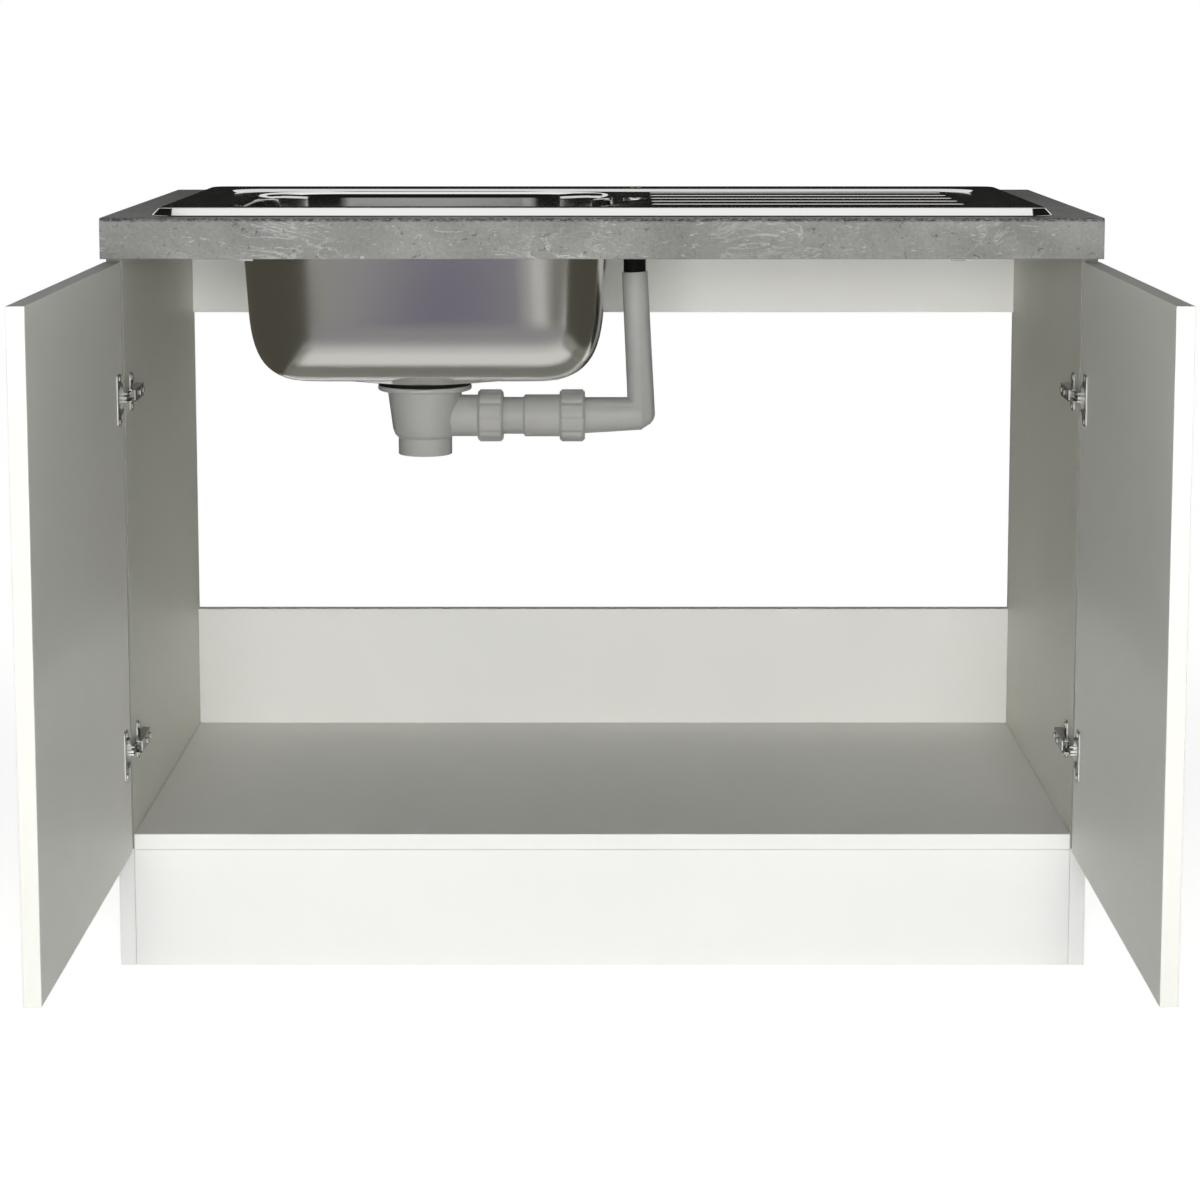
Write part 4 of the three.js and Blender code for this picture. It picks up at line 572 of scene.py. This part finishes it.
def waste_body():
    """The cup under the bowl, with its outlet below, a stub for the branch, and a bridge for the screw."""
    outlet, neck, top = 560, 580, 643
    flange, stub_radius, bore_radius, stub_end = 55.5, 24.75, 20, 76
    bridge_height, bridge_radius, boss_radius, screw_radius = 615.6, 3.6, 7, 3.3
    inside = [(41.3, top), (35.3, neck + 11), (32.8, neck + 5), (28.8, neck + 1)]
    outside = [(28.8, outlet), (31.8, outlet), (31.8, neck), (35.8, neck + 4), (38.3, neck + 11),
               (44.3, top - 6), (54, top - 6), (flange, top - 4.5), (flange, top)]
    hollow = [(0, top + 1), (41.3, top + 1), *inside[1:], (28.8, outlet - 1), (0, outlet - 1)]

    def piece(bm):
        return temporary(bm, waste_place())

    def upright_rod(low, high, radius, sides):
        return piece(rod((0, 0, low), (0, 0, high), radius, sides=sides))

    def side_rod(start, end, radius, sides):
        return piece(rod((start, 0, SIDE_AXIS), (end, 0, SIDE_AXIS), radius, sides=sides))

    cup = turned(outside + inside, 96, 1.4, 4)
    stub = side_rod(15, stub_end, stub_radius, 64)
    boss = upright_rod(612.6, 628.6, boss_radius, 32)
    bridge = piece(rod((0, -38, bridge_height), (0, 38, bridge_height), bridge_radius, sides=4))
    room = piece(turned(hollow, 96, 0.1, 1))
    bore = side_rod(0, stub_end + 1, bore_radius, 48)
    thread = upright_rod(600, 640, screw_radius, 24)
    made = combined(piece(cup), [("UNION", stub), ("DIFFERENCE", room), ("DIFFERENCE", bore),
                                 ("UNION", boss), ("UNION", bridge), ("DIFFERENCE", thread)])
    show(made, "waste_housing", "waste_body")


NUT_RADIUS, NUT_LENGTH, NUT_LIP, NUT_PLAY, NUT_ROUND = 31, 30, 4, 0.35, 3
NUT_GROOVES, NUT_SIDES, GROOVE, END_GROOVE = 10, 120, 1.5, 0.8


def union_nut(name, cad, start, thread, tube):
    """A nut with grooves all round, drawn along X; thread and tube are the radii it goes over."""
    def ring(inset, x, groove):
        points = []
        for i, angle in enumerate(around(NUT_SIDES)):
            phase = (i * NUT_GROOVES / NUT_SIDES) % 1
            radius = NUT_RADIUS - inset - groove * max(0, math.cos(2 * math.pi * phase)) ** 3
            points.append(Vector((x, radius * math.cos(angle), radius * math.sin(angle))))
        return points

    outline = filleted([(4.2, 0), (3, 0), (0, NUT_ROUND), (0, NUT_LENGTH - NUT_ROUND), (3, NUT_LENGTH),
                        (4.2, NUT_LENGTH)], 0.8, 3, closed=False)
    tube_depth, thread_depth = NUT_RADIUS - tube - NUT_PLAY, NUT_RADIUS - thread - NUT_PLAY
    bore = [(tube_depth, NUT_LENGTH), (tube_depth, NUT_LENGTH - NUT_LIP), (thread_depth, NUT_LENGTH - NUT_LIP),
            (thread_depth, 0)]
    rings = [ring(p.x, p.y, GROOVE if p.x < 1.5 else END_GROOVE) for p in outline] + [ring(d, x, 0) for d, x in bore]
    bm = tidy(mesh_of(rings, closed=True))
    show(temporary(bm, waste_place(start, SIDE_AXIS)), name, cad)


def adapter():
    """The socket between the union nuts: (radius, distance along X from the waste's axis)."""
    profile = [(18.8, 80.6), (22, 80.6), (22, 117), (25, 119), (25, 176), (21.8, 176), (21.8, 125), (18.8, 125)]
    along_x = Matrix.Rotation(math.radians(90), 4, "Y")
    show(temporary(turned(profile, 64, 1.2), waste_place(0, SIDE_AXIS) @ along_x), "adapter", "adapter_tube")


def overflow_pipe():
    """A level leg, a knee with a blind end past it, and a leg that leans up to the sleeve."""
    foot, rise = Vector((257.3, 0, 2.35)), 171.3
    start, mouth = Vector((181.3, 0, 0)), Vector((OVERFLOW_REACH, 0, rise))
    outer_start, outer_foot, knee_radius, outer_mouth = 21.75, 19.4, 16, 15.2
    bore_foot, bore_mouth = 14, 13.2
    past = Vector((1, 0, 0))
    end = foot + Vector((11.2, 0, 0))
    above = mouth + (mouth - foot) / (rise - foot.z) * 2
    place = waste_place(0, SIDE_AXIS)
    knee = bmesh.new()
    bmesh.ops.create_uvsphere(knee, u_segments=48, v_segments=24, radius=knee_radius,
                              matrix=Matrix.Translation(foot) @ Matrix.Rotation(math.pi / 2, 4, "X"))
    added = (rod(foot, mouth, knee_radius, outer_mouth), knee, rod(foot - past, end, outer_foot, 12))
    bored = (rod(start - past, foot, 19.35, 17), rod(foot, above, bore_foot, bore_mouth))
    steps = [("UNION", temporary(tool, place)) for tool in added]
    steps += [("DIFFERENCE", temporary(tool, place)) for tool in bored]
    made = combined(temporary(rod(start, foot, outer_start, outer_foot), place), steps)
    show(made, "overflow_elbow", "overflow_pipe", angle=50)


def overflow_sleeve():
    low, top = 777, 861.2
    profile = [(10, low - 14), (12, low - 14), (12, low + 0.3), (13.1, low + 0.3), (13.1, low + 13), (15, low + 27),
               (15, top), (13, top), (13, low + 27), (10, low + 13)]
    show(temporary(turned(profile, 64, 0.6), waste_place(OVERFLOW_REACH)), "sleeve", "overflow_sleeve")


def waste_set():
    waste_gasket()
    waste_body()
    union_nut("nut_inlet", "union_nut_inlet", 63, 24.75, 22)
    union_nut("nut_overflow", "union_nut_overflow", 160, 25, 21.75)
    adapter()
    overflow_pipe()
    overflow_sleeve()


# ---------------------------------------------------------------- the rest: every sharp edge slightly broken
BREAKS = {"white_board": 0.5, "door_board": 0.6, "stone_decor": 0.4, "stainless": 0.25, "nickel": 0.25,
          "grey_plastic": 0.3, "black_rubber": 0.3}
BREAK_ANGLE, FLAT_AREA = math.radians(38), 1e-4  # faces over FLAT_AREA, in square metres, are shaded flat


def broken_edges():
    for name, slot in SLOT_OF.items():
        cad = frame["nodes"][name]
        if cad.hide_render:  # a finer piece already stands for it
            continue
        bm = bmesh.new()
        bm.from_mesh(cad.data)
        bmesh.ops.transform(bm, matrix=cad.matrix_world, verts=bm.verts)
        bmesh.ops.remove_doubles(bm, verts=bm.verts, dist=1e-6)
        bmesh.ops.dissolve_limit(bm, angle_limit=math.radians(1), verts=bm.verts, edges=bm.edges)
        made = object_of(bm, name)
        edge = made.modifiers.new("edge", "BEVEL")
        edge.width, edge.segments, edge.angle_limit = BREAKS[slot] * MM, 2, BREAK_ANGLE
        show(applied(made), name + "_piece", name)
        for face in made.data.polygons:
            face.use_smooth = face.area < FLAT_AREA


# ---------------------------------------------------------------- stage, light and camera
FLOOR_REACH = 30
WHITE_FROM, WHITE_AT = 0.9, 2.2  # the floor turns into plain white between these distances
FLOOR_TONE, FLOOR_LIFT = (0.8, 0.8, 0.8, 1), 0.72
WHITE = (1, 1, 1, 1)


def stage():
    bm = bmesh.new()
    bmesh.ops.create_grid(bm, x_segments=1, y_segments=1, size=FLOOR_REACH)
    floor = object_of(bm, "floor")
    made = bpy.data.materials.new("pale_floor")
    tree = blank_tree(made)
    where = node(tree, "TexCoord").outputs["Object"]
    away = node(tree, "VectorMath", {0: where}, operation="LENGTH").outputs["Value"]
    far = node(tree, "MapRange", {"Value": away, "From Min": WHITE_FROM, "From Max": WHITE_AT},
               interpolation_type="SMOOTHSTEP").outputs[0]
    plain = node(tree, "BsdfDiffuse", {"Color": FLOOR_TONE}).outputs[0]
    lift = node(tree, "Emission", {"Color": WHITE, "Strength": FLOOR_LIFT}).outputs[0]
    near = node(tree, "AddShader", {0: plain, 1: lift}).outputs[0]
    white = node(tree, "Emission", {"Color": WHITE, "Strength": 1.0}).outputs[0]
    lit = mix_shader(tree, picture_rays(tree), plain, mix_shader(tree, far, near, white))
    tree.links.new(lit, node(tree, "OutputMaterial").inputs[0])
    floor.data.materials.append(made)


def mix_shader(tree, factor, a, b):
    return node(tree, "MixShader", {0: factor, 1: a, 2: b}).outputs[0]


def picture_rays(tree):
    """1 for rays from the camera, and for what metal and glass mirror."""
    path = node(tree, "LightPath").outputs
    seen = node(tree, "Math", {0: path["Is Camera Ray"], 1: path["Is Glossy Ray"]}, operation="MAXIMUM").outputs[0]
    return node(tree, "Math", {0: seen, 1: path["Is Transmission Ray"]}, operation="MAXIMUM").outputs[0]


CARD_REACH = 4  # a card's stops lie between -CARD_REACH and CARD_REACH


def card(name, corners, stops, fade=None):
    """A card that only reflections see, as a photographer's flag; stops are (metres along X, colour).

    fade is (y0, y1, colour): from y0 to y1 the stops turn into that colour.
    """
    data = bpy.data.meshes.new(name)
    data.from_pydata(corners, [], [(0, 1, 2, 3)])
    made = linked(name, data)
    paint = bpy.data.materials.new(name)
    tree = blank_tree(paint)
    place = node(tree, "SeparateXYZ", {0: node(tree, "TexCoord").outputs["Object"]}).outputs
    along = node(tree, "MapRange", {"Value": place["X"], "From Min": -CARD_REACH, "From Max": CARD_REACH}).outputs[0]
    colours = ramp(tree, along, [((at + CARD_REACH) / (2 * CARD_REACH), colour) for at, colour in stops])
    if fade:
        start, end, colour = fade
        near = node(tree, "MapRange", {"Value": place["Y"], "From Min": start, "From Max": end}).outputs[0]
        colours = mixed(tree, near, colours, colour)
    glow = node(tree, "Emission", {"Color": colours})
    tree.links.new(glow.outputs[0], node(tree, "OutputMaterial").inputs[0])
    data.materials.append(paint)
    made.visible_camera = made.visible_diffuse = made.visible_shadow = False
    made.visible_transmission = made.visible_volume_scatter = False


def one_tone(colour):
    return [(-CARD_REACH, colour), (CARD_REACH, colour)]


def upright(x0, x1, y, z0, z1):
    return [(x0, y, z0), (x1, y, z0), (x1, y, z1), (x0, y, z1)]


def sideways(x, y0, y1, z0, z1):
    return [(x, y0, z0), (x, y1, z0), (x, y1, z1), (x, y0, z1)]


def level(x0, x1, y0, y1, z):
    return [(x0, y0, z), (x1, y0, z), (x1, y1, z), (x0, y1, z)]


def lamp(name, place, target, size, power):
    """A soft rectangular lamp that reflections don't see."""
    data = bpy.data.lights.new(name, "AREA")
    data.shape, data.size, data.size_y = "RECTANGLE", *size
    data.energy = power
    made = linked(name, data)
    made.location = place
    made.rotation_euler = (Vector(target) - Vector(place)).to_track_quat("-Z", "Y").to_euler()
    made.visible_glossy = False


FILL = {"Color": (1.0, 0.995, 0.97, 1), "Strength": 0.04}


def world():
    """White to the camera and to reflections, a weak fill to everything else."""
    made = bpy.data.worlds.new("studio")
    bpy.context.scene.world = made
    tree = blank_tree(made)
    fill = node(tree, "Background", FILL)
    white = node(tree, "Background", {"Color": WHITE, "Strength": 1.0})
    shown = mix_shader(tree, picture_rays(tree), fill.outputs[0], white.outputs[0])
    tree.links.new(shown, node(tree, "OutputWorld").inputs[0])


OLIVE, GREY, PURPLE, PALE = (0.20, 0.19, 0.155), (0.43, 0.42, 0.40), (0.10, 0.08, 0.19), (0.72, 0.71, 0.68)
DIM_PURPLE, MID_GREY = (0.22, 0.20, 0.25), (0.33, 0.325, 0.33)
BRIGHT, NEAR_SHADE = (0.85, 0.84, 0.81), (0.25, 0.245, 0.22)
BLACK = one_tone((0.014, 0.014, 0.012))
CARD_FLOOR, CARD_SKY = 0.01, 3.0  # heights


def lights():
    """Lamps, and the cards that the steel mirrors.

    The bowl's outside mirrors the floor cards from far to near down its wall, the inside of its far wall mirrors
    low_wall_card, the rim's front edge mirrors sky_card, and the deck mirrors back_flag.
    """
    lamp("front_softbox", (0, -3.9, 1.0), (0, 0, 0.6), (1.6, 1.2), 130)
    for name, x in (("left_light", -4.2), ("right_light", 4.2)):
        lamp(name, (x, 2.2, 1.5), (0, 0.2, 0.5), (2.0, 1.6), 25)
    card("back_flag", upright(-3, 3, 1.6, 0.0, 1.2), BLACK)
    card("front_floor_card", level(-4, 4, -6, -2.2, CARD_FLOOR),
         [(-4, OLIVE), (-0.95, OLIVE), (-0.66, GREY), (-0.56, GREY), (-0.48, PURPLE), (-0.34, PURPLE),
          (-0.10, DIM_PURPLE), (0.10, GREY), (0.24, GREY), (0.36, PALE), (0.75, PALE), (1.0, OLIVE), (4, OLIVE)])
    card("middle_floor_card", level(-1.5, 1.5, -2.2, -0.5, CARD_FLOOR), one_tone(MID_GREY), fade=(-1.2, -0.5, BRIGHT))
    card("near_floor_card", level(-1.5, 1.5, -0.5, -0.02, CARD_FLOOR), one_tone(BRIGHT),
         fade=(-0.16, -0.02, NEAR_SHADE))
    for side in (-1, 1):
        card("inner_flag", sideways(side * 0.49, -0.5, 0.5, 0.42, 0.8), one_tone((0.09, 0.085, 0.065)))
        card("side_flag", sideways(side * 3, -5.3, 2.6, 0.6, 1.35), BLACK)
        middle = side * 1.3
        card("hinge_card", upright(middle - 0.3, middle + 0.3, -4.2, 0.0, 0.6), one_tone(1.1))
        card("sky_wing", level(side * 0.95, side * 3.5, 0.9, 4.5, CARD_SKY), BLACK)
        lamp("side_fill", (side * 2.6, 0.2, 0.45), (side * 0.55, 0.1, 0.45), (1.0, 0.8), 8)
    card("front_wall_card", upright(-3, 3, -5.3, 0.5, 3.0), BLACK)
    card("low_wall_card", upright(-0.98, -0.16, -5.2, 0.3, 1.55),
         [(-1.0, 0.014), (-0.86, 0.10), (-0.68, 0.46), (-0.46, 0.46), (-0.28, 0.10), (-0.14, 0.014)])
    card("dark_sky", level(-3, 3, -5.3, 0.9, CARD_SKY), BLACK)
    card("sky_card", level(-0.85, 0.88, -0.6, 0.9, CARD_SKY - 0.05), one_tone(1.3))


def camera():
    """The photograph's view: from a little above the worktop, with the lens shifted down."""
    data = bpy.data.cameras.new("camera")
    data.lens, data.sensor_width = 89.796, 36
    data.shift_x, data.shift_y = -0.00846, -0.15
    data.clip_end = 60
    made = linked("camera", data)
    made.location = (0.009, -3.3186, 1.0543)
    made.rotation_euler = (math.radians(90 - 7.326), 0, 0)
    bpy.context.scene.camera = made


sink()
waste_set()
broken_edges()
stage()
world()
lights()
camera()
bpy.context.scene.view_settings.view_transform = "Standard"
